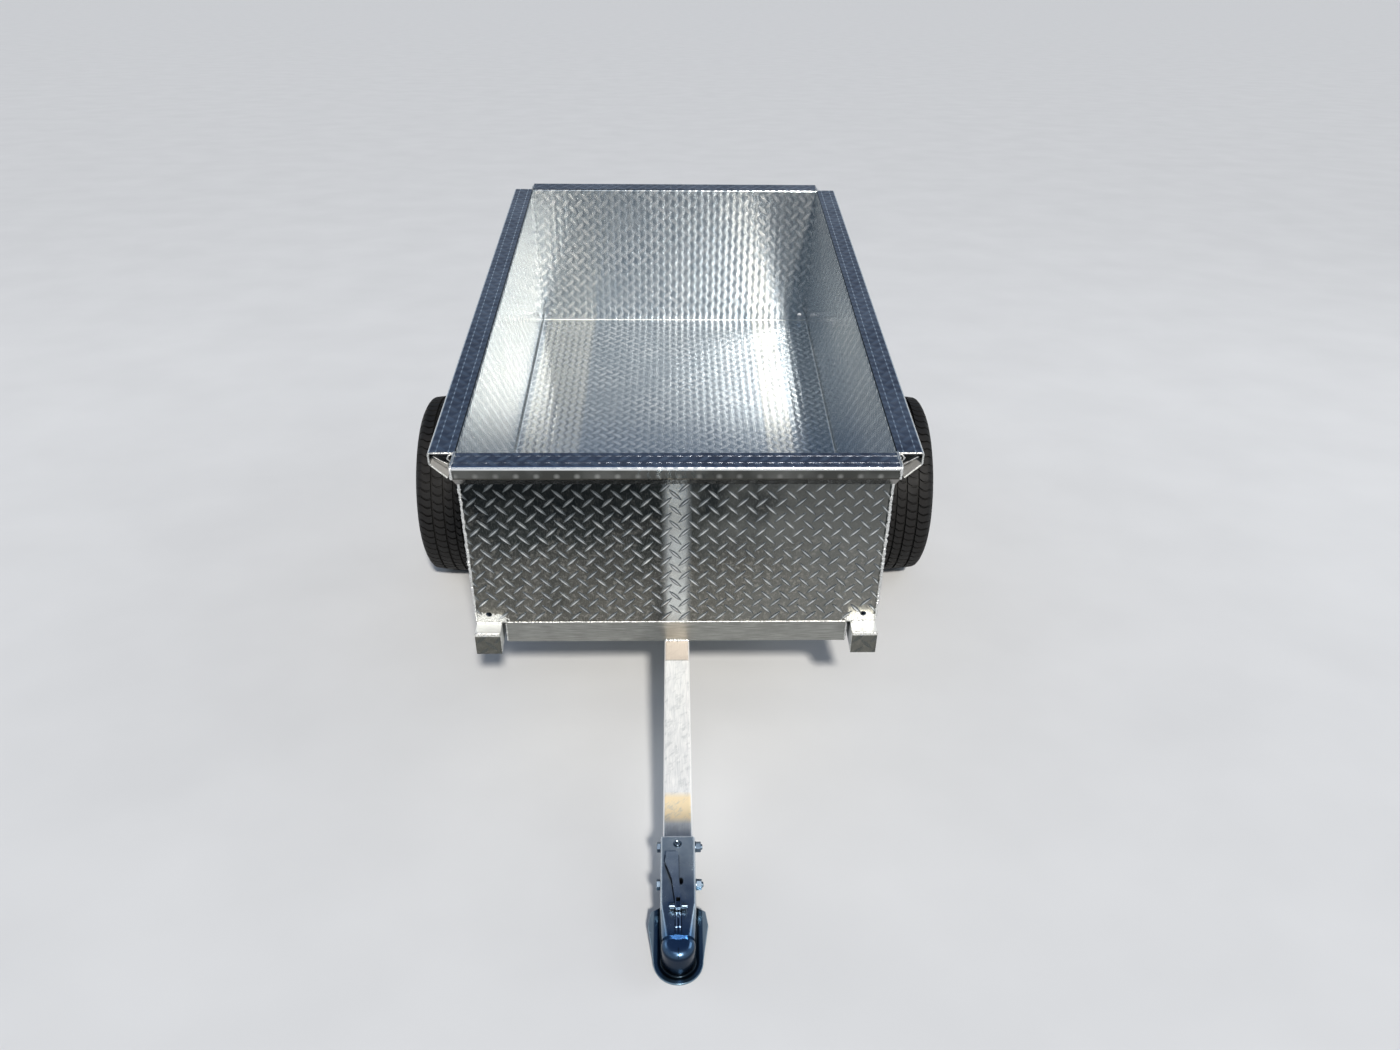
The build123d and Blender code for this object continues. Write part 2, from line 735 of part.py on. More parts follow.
# Latch lever: a pressed channel, open at the top round the stud, with a wider tab at its rear
lever_under = channel_top + lever_clear
left_edge = [(left, -latch_back + behind) for behind, left, right in lever_stations]
right_edge = [(right, -latch_back + behind) for behind, left, right in lever_stations]
with BuildPart() as latch_lever:
    with BuildSketch(Plane.XY.offset(lever_under)) as lever_plan:
        with BuildLine():
            Polyline(left_edge + right_edge[::-1], close=True)
        make_face()
    extrude(amount=lever_depth)
    with BuildSketch(Plane.XY.offset(lever_under)):
        add(lever_plan.sketch)
        offset(amount=-lever_sheet)
    extrude(amount=lever_depth - lever_sheet, mode=Mode.SUBTRACT)
    with Locations((0, -latch_back - lever_nose, lever_under)):
        Box(
            2 * (lever_stations[0][2] - lever_sheet),
            lever_nose + fork_long,
            lever_depth,
            align=(Align.CENTER, Align.MIN, Align.MIN),
            mode=Mode.SUBTRACT,
        )
    with BuildSketch(Plane.YZ.offset(-pin_half)):
        with Locations((-latch_back, pin_height)):
            Circle(pin_radius + running_gap)
    extrude(amount=2 * pin_half, mode=Mode.SUBTRACT)
latch_lever.part.label = "latch_lever"
latch_lever.part.move(parked)
export_step(latch_lever.part, "parts/latch_lever.step")
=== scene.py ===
import json
from math import atan2, cos, pi, radians, sin, sqrt

import bmesh
import bpy
from mathutils import Euler, Matrix, Vector
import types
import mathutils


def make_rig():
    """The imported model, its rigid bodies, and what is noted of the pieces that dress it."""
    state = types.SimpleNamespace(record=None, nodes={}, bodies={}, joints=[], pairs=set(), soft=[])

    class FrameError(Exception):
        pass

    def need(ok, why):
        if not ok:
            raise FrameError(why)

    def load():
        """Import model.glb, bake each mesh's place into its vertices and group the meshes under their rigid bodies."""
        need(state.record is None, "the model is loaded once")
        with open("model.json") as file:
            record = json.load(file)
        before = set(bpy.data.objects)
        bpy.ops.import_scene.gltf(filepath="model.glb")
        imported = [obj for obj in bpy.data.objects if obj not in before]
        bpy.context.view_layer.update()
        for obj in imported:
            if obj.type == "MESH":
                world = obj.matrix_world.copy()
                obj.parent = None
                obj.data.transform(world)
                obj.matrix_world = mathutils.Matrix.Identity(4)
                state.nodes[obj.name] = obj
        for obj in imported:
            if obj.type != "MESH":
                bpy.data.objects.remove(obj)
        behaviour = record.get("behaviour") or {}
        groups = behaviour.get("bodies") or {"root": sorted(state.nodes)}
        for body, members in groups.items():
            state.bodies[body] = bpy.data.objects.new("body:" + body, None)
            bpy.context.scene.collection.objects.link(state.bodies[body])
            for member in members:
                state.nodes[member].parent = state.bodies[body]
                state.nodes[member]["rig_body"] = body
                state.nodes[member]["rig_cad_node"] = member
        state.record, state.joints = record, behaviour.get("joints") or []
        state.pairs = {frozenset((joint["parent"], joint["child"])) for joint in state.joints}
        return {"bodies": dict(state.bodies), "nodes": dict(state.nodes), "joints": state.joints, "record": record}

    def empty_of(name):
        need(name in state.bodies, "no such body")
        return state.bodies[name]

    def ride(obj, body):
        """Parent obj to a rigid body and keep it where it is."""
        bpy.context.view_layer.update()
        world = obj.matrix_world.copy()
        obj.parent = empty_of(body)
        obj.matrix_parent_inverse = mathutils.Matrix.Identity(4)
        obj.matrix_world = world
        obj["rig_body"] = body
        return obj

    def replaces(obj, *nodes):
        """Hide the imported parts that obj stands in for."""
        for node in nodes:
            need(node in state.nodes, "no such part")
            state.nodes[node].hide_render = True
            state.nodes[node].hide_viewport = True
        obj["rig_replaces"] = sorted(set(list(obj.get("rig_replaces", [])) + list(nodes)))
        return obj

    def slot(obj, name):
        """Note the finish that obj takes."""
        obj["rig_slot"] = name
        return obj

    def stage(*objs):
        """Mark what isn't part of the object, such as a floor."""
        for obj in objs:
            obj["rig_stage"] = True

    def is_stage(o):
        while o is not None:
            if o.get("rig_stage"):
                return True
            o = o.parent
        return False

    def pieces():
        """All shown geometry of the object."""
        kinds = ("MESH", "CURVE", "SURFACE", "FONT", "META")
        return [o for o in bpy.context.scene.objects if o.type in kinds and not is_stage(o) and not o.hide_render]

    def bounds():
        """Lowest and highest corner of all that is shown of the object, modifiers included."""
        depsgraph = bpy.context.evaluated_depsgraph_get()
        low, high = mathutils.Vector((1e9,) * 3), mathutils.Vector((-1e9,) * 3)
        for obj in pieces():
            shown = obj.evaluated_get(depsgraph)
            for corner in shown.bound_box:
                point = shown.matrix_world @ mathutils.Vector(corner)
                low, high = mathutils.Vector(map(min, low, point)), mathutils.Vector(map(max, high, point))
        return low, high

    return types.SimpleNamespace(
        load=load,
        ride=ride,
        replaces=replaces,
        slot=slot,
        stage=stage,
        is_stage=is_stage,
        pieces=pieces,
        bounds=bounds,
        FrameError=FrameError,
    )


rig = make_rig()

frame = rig.load()
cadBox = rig.bounds()
nodes = frame["nodes"]

# The trailer is drawn level, in millimetres: X to the right, Y back from the front wall,
# Z up from the floor's underside. It is then parked nose-down, as the solids are.
box = {"half": 406.4, "long": 1422.4, "sheet": 3.2, "member": 50.8, "nose": 38.1, "rail": 50.8}
bedFloor = next(m for m in frame["record"]["mounts"] if m["name"] == "bed_floor")
noseDown = atan2(-bedFloor["axis"][1], bedFloor["axis"][2])
toPlace = (
    Matrix.Translation(bedFloor["pos_m"])
    @ Matrix.Rotation(noseDown, 4, "X")
    @ Matrix.Scale(0.001, 4)
    @ Matrix.Translation((0, -box["long"] / 2, -box["sheet"]))
)


def newObject(name, data):
    obj = bpy.data.objects.new(name, data)
    bpy.context.scene.collection.objects.link(obj)
    return obj


def meshOf(name, points, faces=(), edges=()):
    mesh = bpy.data.meshes.new(name)
    mesh.from_pydata([tuple(p) for p in points], list(edges), list(faces))
    mesh.update()
    return mesh


def give(obj, body, slot, *stands, at=(0, 0, 0)):
    # a piece drawn about a place on the level trailer: parks it, and says what it rides and replaces
    obj.data.transform(toPlace @ Matrix.Translation(at))
    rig.ride(obj, body)
    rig.slot(obj, slot)
    if stands:
        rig.replaces(obj, *stands)


# Camera, where the photograph was taken from
view = {"place": (-6.74, -1759.9, 1500.32), "turn": (54.4706, -0.7086, -1.1584), "lens": 28.975,
        "sensor": 36, "far": 1500}
camera = newObject("camera", bpy.data.cameras.new("camera"))
camera.data.lens = view["lens"]
camera.data.sensor_width = view["sensor"]
camera.data.sensor_fit = "HORIZONTAL"
camera.data.clip_end = view["far"]
camera.rotation_mode = "QUATERNION"
camera.location = toPlace @ Vector(view["place"])
levelTurn = Euler([radians(a) for a in view["turn"]], "XYZ").to_matrix().to_4x4()
camera.rotation_quaternion = (Matrix.Rotation(noseDown, 4, "X") @ levelTurn).to_quaternion()
bpy.context.scene.camera = camera
bpy.context.scene.view_settings.view_transform = "Standard"
print("camera")


# Nodes
class Wire:
    # a node's output; arithmetic on it adds Math nodes, with | for the greater and & for the lesser,
    # and a vector can be taken apart into its X, Y and Z
    def __init__(self, socket):
        self.socket = socket
        self.tree = socket.id_data

    def __iter__(self):
        parts = put(self.tree, "ShaderNodeSeparateXYZ", {0: self}).outputs
        return iter([Wire(part) for part in parts])

    def __add__(self, other):
        return calc("ADD", self, other)

    def __radd__(self, other):
        return calc("ADD", other, self)

    def __sub__(self, other):
        return calc("SUBTRACT", self, other)

    def __rsub__(self, other):
        return calc("SUBTRACT", other, self)

    def __mul__(self, other):
        return calc("MULTIPLY", self, other)

    def __truediv__(self, other):
        return calc("DIVIDE", self, other)

    def __pow__(self, other):
        return calc("POWER", self, other)

    def __or__(self, other):
        return calc("MAXIMUM", self, other)

    def __and__(self, other):
        return calc("MINIMUM", self, other)

    def __gt__(self, other):
        return calc("GREATER_THAN", self, other)

    def __lt__(self, other):
        return calc("LESS_THAN", self, other)

    def __abs__(self):
        return calc("ABSOLUTE", self)


def feed(node, inputs):
    # inputs as values, or as links from other nodes
    for name, value in inputs.items():
        if isinstance(value, Wire):
            node.id_data.links.new(value.socket, node.inputs[name])
        else:
            node.inputs[name].default_value = value
    return node


def put(tree, kind, inputs=None, **settings):
    node = tree.nodes.new(kind)
    for name, value in settings.items():
        setattr(node, name, value)
    return feed(node, inputs or {})


def pick(tree, kind, inputs=None, output=0, **settings):
    return Wire(put(tree, kind, inputs, **settings).outputs[output])


def calc(operation, *values, kind="Math", output=0):
    tree = next(value.tree for value in values if isinstance(value, Wire))
    return pick(tree, "ShaderNode" + kind, dict(enumerate(values)), output, operation=operation)


def length(x, y):
    flat = pick(x.tree, "ShaderNodeCombineXYZ", {0: x, 1: y})
    return calc("LENGTH", flat, kind="VectorMath", output="Value")


# Colours and patterns
def fromHex(code):
    parts = [int(code[i:i + 2], 16) / 255 for i in (1, 3, 5)]
    return tuple(p / 12.92 if p <= 0.04045 else ((p + 0.055) / 1.055) ** 2.4 for p in parts) + (1,)


def ramp(value, low, high, start=0.0, end=1.0, interpolation="LINEAR"):
    inputs = {"Value": value, "From Min": low, "From Max": high, "To Min": start, "To Max": end}
    return pick(value.tree, "ShaderNodeMapRange", inputs, "Result", interpolation_type=interpolation)


def band(value, low, high, soft=0.5):
    # 1 between two places, easing to 0 outside them
    return ramp(value, low - soft, low) * ramp(value, high + soft, high)


def blend(share, first, second):
    ends = [fromHex(end) if isinstance(end, str) else end for end in (first, second)]
    inputs = {"Factor": share, 6: ends[0], 7: ends[1]}
    return pick(share.tree, "ShaderNodeMix", inputs, 2, data_type="RGBA")


def grain(place, size, stretch=(1, 1, 1), detail=3.0, rough=0.5):
    # noise whose patches are about size millimetres, longer along the axes with a small stretch
    along = pick(place.tree, "ShaderNodeMapping", {"Vector": place, "Scale": stretch}, "Vector")
    inputs = {"Vector": along, "Scale": 1 / size, "Detail": detail, "Roughness": rough}
    return pick(place.tree, "ShaderNodeTexNoise", inputs, "Fac")


def startFinish(name, colour, metallic, roughness):
    material = bpy.data.materials.new(name)
    material.use_nodes = True
    shader = material.node_tree.nodes["Principled BSDF"]
    feed(shader, {"Base Color": fromHex(colour), "Metallic": metallic, "Roughness": roughness})
    return material, shader


def levelPlace(shader):
    # place on the level trailer in millimetres, so that a pattern lies square to the sheets
    tree = shader.id_data
    return pick(tree, "ShaderNodeMapping", {
        "Vector": pick(tree, "ShaderNodeTexCoord", None, "Object"),
        "Location": toPlace.inverted().translation,
        "Rotation": (-noseDown, 0, 0),
        "Scale": (1000, 1000, 1000),
    }, "Vector")


def raised(shader, height, strength, distance):
    inputs = {"Height": height, "Strength": strength, "Distance": distance}
    feed(shader, {"Normal": pick(shader.id_data, "ShaderNodeBump", inputs)})


# Rolled lugs: size of one, their pitches, and where one of the falling lugs lies on an end wall
lug = {"long": 37.0, "wide": 9.0, "tall": 1.9, "across": 36.7, "up": 34.9,
       "firstAcross": -3.2, "firstUp": 33.9}


def rolledPrint(across, up):
    # how near a place on the sheet's smooth side is to the back of a lug
    total = None
    for turn, shift in ((1.0, 0), (-1.0, 0.5)):
        parts = []
        for value, pitch, first in ((across, lug["across"], lug["firstAcross"]),
                                    (up, lug["up"], lug["firstUp"])):
            parts.append(calc("WRAP", value - (first + pitch * shift), pitch / 2, -pitch / 2))
        s, t = parts[0], parts[1] * turn
        along = (s - t) * (0.707 / (lug["long"] * 0.55))
        aside = (s + t) * (0.707 / (lug["wide"] * 0.75))
        near = ramp(abs(along) ** 2.0 + abs(aside) ** 2.0, 1.0, 0.0, interpolation="SMOOTHSTEP")
        total = near if total is None else total | near
    return total


ground = {"aside": 380.0, "past": 14.0, "reach": (42, 40, 27)}  # middle and size of each ground corner


def dressed(place):
    # the corners over the side members' noses, ground bright after they were welded
    x, y, z = place
    past = abs(y - box["long"] / 2) - (box["long"] / 2 + ground["past"])
    offset = pick(place.tree, "ShaderNodeCombineXYZ", {0: abs(x) - ground["aside"], 1: past, 2: z})
    shrunk = calc("MULTIPLY", offset, [1 / size for size in ground["reach"]], kind="VectorMath")
    far = calc("LENGTH", shrunk, kind="VectorMath", output="Value")
    ragged = far + ramp(grain(place, 7.0), 0.2, 0.8, -0.35, 0.35)
    return ramp(ragged, 1.04, 0.92) * ramp(z, -6.0, -3.5)


def outside(x, y):
    # millimetres outside the box's side walls, and outside its end walls
    return abs(x) - box["half"], abs(y - box["long"] / 2) - box["long"] / 2


# Places on the folded sheets: the skins of their two sides, then the rail's and the floor's marks
sheets = {
    "skin": 1.6, "floorTop": 3.6, "railTop": 405.0, "wallEnd": 0.7, "sideStart": -5.0, "plates": 20.0,
    "creases": (11.8, 34.8), "lipDots": 387.0, "railBend": 47.0, "inRail": 402.6, "return": 392.0,
    # polished: where glints are painted down the floor's sides; behindHole: where shade is painted on the floor behind
    # the drain hole
    "hole": (380.4, 21.0), "behindHole": 24.0, "polished": ((-384.0, -246.0, 5.0), (234.0, 298.0, 4.0)),
}


def makeTreadPlate():
    # 3003 aluminium tread plate, rolled: dull and scuffed between the lugs on its outer side,
    # a clean mill mirror on its smooth side, with the lugs showing through as soft dents
    material, shader = startFinish("rolledTreadPlate", "#9fa3a6", 1.0, 0.3)
    place = levelPlace(shader)
    x, y, z = place
    wide = abs(x)
    aside, endwise = outside(x, y)
    outward = aside | endwise
    rail = outward > sheets["wallEnd"]
    lugSide = (outward > -sheets["skin"]) * (1.0 - rail) | (z < sheets["skin"])
    smoothSide = 1.0 - lugSide
    bed = smoothSide * (1.0 - rail)
    sideWall = aside > sheets["sideStart"]
    endWall = 1.0 - sideWall
    frontWall = y < 5.0
    flat = (z < sheets["floorTop"]) | (z > sheets["railTop"])
    alongSheet = y * sideWall + x * endWall
    upSheet = (wide * sideWall + y * endWall) * flat + z * (1.0 - flat)
    dents = rolledPrint(alongSheet, upSheet) * smoothSide
    sway = alongSheet + calc("SINE", upSheet * (2 * pi / lug["up"])) * 2.4
    columns = calc("COSINE", sway * (4 * pi / lug["across"]))
    patchy = ramp(grain(place, 130.0, detail=2.0), 0.35, 0.65, 0.4, 1.0)

    # outer side: grey and scuffed, dusty and lighter-speckled low down, with painted reflections
    # lighter to the right and in a bright band over the tongue, and painted shade darkest high on the front wall's
    # left
    clouds = grain(place, 90.0, detail=4.0)
    scuffs = grain(place, 2.4, (1, 1, 0.3), detail=5.0, rough=0.65)
    lugTone = blend(ramp(clouds, 0.38, 0.62), "#1d2225", "#363a39")
    lugTone = blend(ramp(scuffs, 0.5, 0.8, 0.0, 0.55), lugTone, "#8e9190")
    low = z + ramp(clouds, 0.3, 0.7, -90.0, 90.0)
    dust = ramp(low, 240.0, 40.0) * ramp(scuffs, 0.3, 0.6, 0.35, 0.85)
    lugTone = blend(dust, lugTone, "#7f7d76")
    # painted reflection: the end walls are made lighter towards the right
    worn = ramp(x + ramp(clouds, 0.3, 0.7, -120.0, 120.0), 20.0, 260.0, 0.0, 0.5)
    lugTone = blend(worn * endWall, lugTone, "#8b8c88")
    specks = grain(place, 11.0, detail=4.0, rough=0.7)
    specks = ramp(specks, 0.52, 0.66, 0.0, 0.7) * ramp(low, 260.0, 60.0, 0.15, 1.0)
    lugTone = blend(specks, lugTone, "#adaba3")
    # painted reflection of the tongue: a bright band up the front wall's middle
    tongueReflection = ramp(wide, 30.0, 16.0) * ramp(clouds, 0.3, 0.6, 0.4, 0.65) * frontWall
    lugTone = blend(tongueReflection, lugTone, "#a5acb1")
    # painted shade: darkest high on the front wall's left
    shadedUpperLeft = ramp(x, 40.0, -120.0, 0.25, 0.8) * ramp(z, 210.0, 330.0) * frontWall
    lugTone = blend(shadedUpperLeft * ramp(wide, 16.0, 30.0), lugTone, "#0f1315")

    # smooth side: silver, with painted glints brighter on the dents, painted shade between their columns,
    # and painted glints brightest in strips down the floor's sides
    streaks = grain(place, 9.0, (1, 1, 0.1), detail=3.0, rough=0.6)
    inTone = blend(ramp(streaks, 0.3, 0.7), "#a6b1ba", "#c8ced1")
    left, right = [band(x, *strip) for strip in sheets["polished"]]
    polished = (left | right) * (z < sheets["floorTop"])
    # painted glints in strips down the floor's sides
    inTone = blend(polished * 0.75, inTone, "#faf6ea")
    inTone = blend(sideWall * 0.4, inTone, "#88949d")
    # painted shade between the dents' columns
    shadeBetweenColumns = ramp(columns, 0.2, -1.0, 0.0, 0.6) * patchy * ramp(polished, 0.0, 1.0, 1.0, 1.3)
    inTone = blend(shadeBetweenColumns, inTone, "#75828f")
    # painted glints on the dents
    inTone = blend(dents * 0.85 * patchy, inTone, "#fbfbf9")

    scratches = None
    for turn, stretch in ((0.6, (0.012, 1, 1)), (-1.0, (0.02, 1, 1)), (0.15, (0.015, 1, 1))):
        across = {"Vector": place, "Rotation": (turn, 0, turn)}
        across = pick(place.tree, "ShaderNodeMapping", across, "Vector")
        thread = grain(across, 2.0, stretch, detail=0.0)
        thread = ramp(abs(thread - 0.66), 0.012, 0.004)
        scratches = thread if scratches is None else scratches | thread
    some = ramp(grain(place, 45.0, detail=1.0), 0.52, 0.6, 0.0, 0.75)
    inTone = blend(scratches * some, inTone, "#ffffff")

    # rails: a deep blue-grey mirror on top with painted highlights on the dents, a grey lip with the lugs' backs as
    # painted bright dots, painted highlights along every bend and crease, painted light in the pale hollow below, and
    # a return painted dark as a reflection
    railTone = blend(ramp(clouds, 0.4, 0.6), "#777984", "#8e9099")
    # painted highlights on the dents of the rail tops
    railTone = blend(ramp(dents, 0.0, 1.0, 0.0, 0.3), railTone, "#d2d8e0")
    lipTone = blend(ramp(clouds, 0.4, 0.6), "#4c4d4a", "#686966")
    beside = calc("WRAP", alongSheet + lug["firstAcross"], lug["across"] / 2, -lug["across"] / 2)
    # painted bright dots for the lugs' backs on the lip
    dotGlints = ramp(length(beside, z - sheets["lipDots"]), 7.0, 1.5, 0.0, 0.5) * patchy
    lipTone = blend(dotGlints, lipTone, "#b9bab6")
    railTone = blend(ramp(z, 402.0, 405.5), lipTone, railTone)
    inner, outer = sheets["creases"]
    nearCrease = abs(outward - inner) & abs(outward - outer)
    dash = calc("SINE", alongSheet * (4 * pi / lug["across"]))
    # painted glints along the creases
    creaseGlint = ramp(nearCrease, 1.5, 0.7) * ramp(dash, -0.6, 0.6, 0.35, 1.0)
    creaseGlint = creaseGlint * (z > sheets["railTop"] - 0.2) * ramp(sideWall, 0.0, 1.0, 0.45, 1.0)
    # painted glint along the rail's outer bend
    bendGlint = ramp(outward, sheets["railBend"] - 1.4, sheets["railBend"]) * ramp(z, 399.5, 401.5)
    railTone = blend(creaseGlint | bendGlint, railTone, "#f6f8f8")
    _, _, facing = pick(place.tree, "ShaderNodeNewGeometry", None, "True Normal")
    returned = (facing < -0.2) * (z < sheets["return"]) * rail
    # painted light: the rails' hollow insides are made pale
    hollow = (z < sheets["inRail"]) * (outward < sheets["railBend"] + 0.2) * rail * (1.0 - returned)
    railTone = blend(hollow, railTone, "#dfe0df")
    # painted dark reflection on the rail's return
    railTone = blend(returned, railTone, "#4a4843")

    # end plates, ground corners and cut edges, and painted shade in the drain holes and on the floor behind them
    tone = blend(rail, inTone, railTone)
    plate = (endwise > sheets["plates"]) * (z < sheets["skin"])
    lugTone = blend(plate * 0.8, lugTone, "#454743")
    tone = blend(lugSide, tone, lugTone)
    worked = dressed(place) * (lugSide | rail)
    cutEdge = (aside > sheets["wallEnd"]) * (endwise > -0.25)
    marks = ramp(grain(place, 3.2, detail=5.0, rough=0.7), 0.42, 0.6)
    tone = blend(worked | cutEdge, tone, blend(marks, "#a4a6a3", "#f0f2f0"))
    fromHole = wide - sheets["hole"][0]
    # painted shade in the drain hole, and on the floor seen through it
    holeShade = ramp(length(fromHole, z - sheets["hole"][1]), 6.6, 5.4) * ramp(endwise, -8.0, -6.0)
    shadeBehindHole = length(fromHole, (y - sheets["behindHole"]) * 0.5)
    shadeBehindHole = ramp(shadeBehindHole, 14.0, 5.0, 0.0, 0.94) * band(z, 1.8, 5.0)
    tone = blend(holeShade | shadeBehindHole, tone, "#0b0b0b")

    # ground places and the rails' insides scatter light as a white skin does, the bed a little
    frosted = worked | hollow
    hazed = ramp(bed * 0.24 | frosted, 0.0, 1.0, 1.0, 0.45)

    # bed and rails are nearly mirrors, rubbed by loads; outer side and ground places are duller
    rubbed = grain(place, 3.0, (1, 0.3, 1), detail=4.0)
    rough = ramp(rubbed, 0.3, 0.7, 0.12, 0.2) + lugSide * 0.06 + frosted * 0.26 + bed * 0.02

    # roll lines lie across the sheets, so glints stretch up the walls and back along the floor
    upWall, backFloor = (0, -sin(noseDown), cos(noseDown), 1), (0, cos(noseDown), sin(noseDown), 1)
    feed(shader, {"Base Color": tone, "Metallic": hazed, "Roughness": rough, "Anisotropic": 0.85,
                  "Tangent": blend(flat, upWall, backFloor)})

    # in millimetres: the lugs' dents, the sheet's waves, the dents' columns, and grinding marks
    height = dents * -0.1 + grain(place, 60.0, detail=2.0) * 0.22 + columns * smoothSide * 0.1
    deep = worked * 0.09 + lugSide * 0.006 + 0.0015
    height = height + grain(place, 1.4, (1, 1, 0.25), detail=3.0) * deep
    raised(shader, height, 1.0, 0.001)
    return material


def makeLugMetal():
    # the same plate on its lugs: darker on their flanks and bright along the ridges, partly polish from the rolls and
    # partly painted shade and highlight
    material, shader = startFinish("polishedLugs", "#d4d7d9", 1.0, 0.24)
    place = levelPlace(shader)
    x, y, z = place
    aside, endwise = outside(x, y)
    onPlate = endwise > sheets["plates"]
    endwise = endwise - onPlate * (box["nose"] - 0.6)
    height = aside | endwise | (z * -1.0 & 3.0 - onPlate * 9.0)  # above the sheet that it stands on
    dull = ramp(grain(place, 40.0, detail=4.0), 0.35, 0.65)
    # painted highlight along the lugs' ridges and painted shade on their flanks, partly polish from the rolls
    flank, ridge = blend(dull, "#63696c", "#868a89"), blend(dull, "#cfd3d5", "#f1f3f3")
    tone = blend(ramp(height, 1.3, 1.85), flank, ridge)
    # painted shade: darker high on the front wall's left
    shadedUpperLeft = ramp(x, 40.0, -120.0, 0.35, 1.0) * ramp(z, 210.0, 330.0, 0.0, 0.78) * (y < 5.0)
    tone = blend(shadedUpperLeft, tone, "#43494c")
    tone = blend(onPlate * 0.8, tone, "#5b5d59")
    feed(shader, {"Base Color": blend(dressed(place), tone, "#eceeec"),
                  "Roughness": ramp(grain(place, 1.5), 0.3, 0.7, 0.18, 0.32)})
    return material


# Along the tongue: how far its straw part, its bare part (also painted as shaded) and its part covered by the coupler
# (painted in shade) run, and its top and side edges
tongue = {"bareAndShaded": (-430.0, -500.0), "straw": (-462.0, -418.0), "root": -58.0, "covered": -506.0,
          "top": -51.6, "edge": 24.0}


def makeTubeMetal(name, dark, light, stretch, worked=""):
    # 6061 aluminium tube, extruded: fine die lines along it and a soft grey bloom
    material, shader = startFinish(name, light, 1.0, 0.36)
    place = levelPlace(shader)
    x, y, z = place
    lines = grain(place, 1.4, stretch, detail=4.0, rough=0.6)
    clouds = grain(place, 34.0, detail=4.0)
    tone = blend(ramp(lines, 0.32, 0.68), dark, light)
    tone = blend(ramp(clouds, 0.45, 0.7, 0.0, 0.35), tone, dark)
    if worked == "nose":  # ground bright past the box's ends
        past = abs(y - box["long"] / 2) + ramp(clouds, 0.3, 0.7, -9.0, 9.0)
        bright = ramp(past, box["long"] / 2 - 6, box["long"] / 2 + 4)
        tone = blend(bright, tone, "#eceeec")
        feed(shader, {"Metallic": ramp(bright, 0.0, 1.0, 1.0, 0.5)})
    if worked == "tongue":  # flap-disc grain, fading to bare tube ahead of the coupler
        # the bare tube ahead of the coupler is also painted bluish-grey as shade
        bareAndShaded = ramp(y + ramp(clouds, 0.3, 0.7, -8.0, 8.0), *tongue["bareAndShaded"])
        tone = blend(bareAndShaded * 0.75, tone, "#a5b0bb")
        tone = blend(band(y, *tongue["straw"], 14.0) * (z > tongue["top"]), tone, "#f6e3bd")
        slanted = {"Vector": place, "Rotation": (0, 0, 0.7)}
        slanted = pick(place.tree, "ShaderNodeMapping", slanted, "Vector")
        brushed = grain(slanted, 9.0, (1, 0.45, 1), detail=4.0, rough=0.65)
        tone = blend(ramp(brushed, 0.5, 0.66, 0.0, 0.5), tone, "#b0b6b9")
        tone = blend(band(y, tongue["root"], 0.0, 2.0) * 0.75, tone, "#bfae9c")
        tone = blend(band(y, tongue["root"] - 2.5, tongue["root"] - 0.5, 0.6) * 0.6, tone, "#5e5a55")
        # painted shade where the coupler covers the tongue
        tone = blend(ramp(y, tongue["covered"], tongue["covered"] - 2), tone, "#15171a")
        # painted highlight along the tongue's side edges
        tone = blend(ramp(abs(x), tongue["edge"] - 1.6, tongue["edge"], 0.0, 0.8), tone, "#ffffff")
        feed(shader, {"Metallic": ramp(bareAndShaded, 0.0, 1.0, 0.15, 0.95)})
    feed(shader, {"Base Color": tone, "Roughness": ramp(lines, 0.3, 0.7, 0.3, 0.44)})
    raised(shader, lines, 0.25, 0.0002)
    return material


def makeWeldMetal():
    # aluminium weld bead: cast surface, bright and rippled, a little sooty at its edges
    material, shader = startFinish("weldBead", "#e4e5e3", 1.0, 0.38)
    spots = grain(levelPlace(shader), 2.5, detail=4.0)
    feed(shader, {"Base Color": blend(ramp(spots, 0.38, 0.62), "#c5c6c3", "#f2f3f2")})
    raised(shader, spots, 0.5, 0.0005)
    return material


# Coupler: the ball's centre, rear edge and lever's pin along it; tops of channel, flange and lever;
# and how far out the flange's rim starts, which is made duller and painted pale as a highlight
shell = {"ball": -706.0, "rear": -506.0, "pin": -650.0, "top": -47.0, "flangeTop": -104.1,
         "leverTop": -36.2, "flangeRim": 38.5}


def fromBall(x, y):
    # millimetres out from the coupler's spine, which ends at the ball
    return length(x, shell["ball"] - y | 0.0)


def flangeRim(place):
    # the outer strip of the coupler's flange, where it is duller and painted pale as a highlight
    x, y, z = place
    return ramp(fromBall(x, y), shell["flangeRim"], 41.0) * (z < shell["flangeTop"] + 2)


def makeZinc(name, dark, light, roughness, marks=None):
    # pressed steel, zinc plated and passivated: blue to grey, satin, faintly cloudy
    material, shader = startFinish(name, light, 1.0, roughness)
    place = levelPlace(shader)
    clouds = grain(place, 30.0, detail=3.0)
    tone = blend(ramp(clouds, 0.3, 0.7), dark, light)
    if marks:  # and dulled towards its rear and rim, where hands and chains rub it
        tone = marks(place, tone)
        _, y, _ = place
        feed(shader, {"Metallic": ramp(y, -640.0, -520.0, 0.95, 0.62) + flangeRim(place) * -0.35})
    feed(shader, {"Base Color": tone,
                  "Roughness": ramp(clouds, 0.3, 0.7, roughness - 0.04, roughness + 0.08)})
    raised(shader, grain(place, 0.8, detail=2.0), 0.12, 0.0002)
    return material


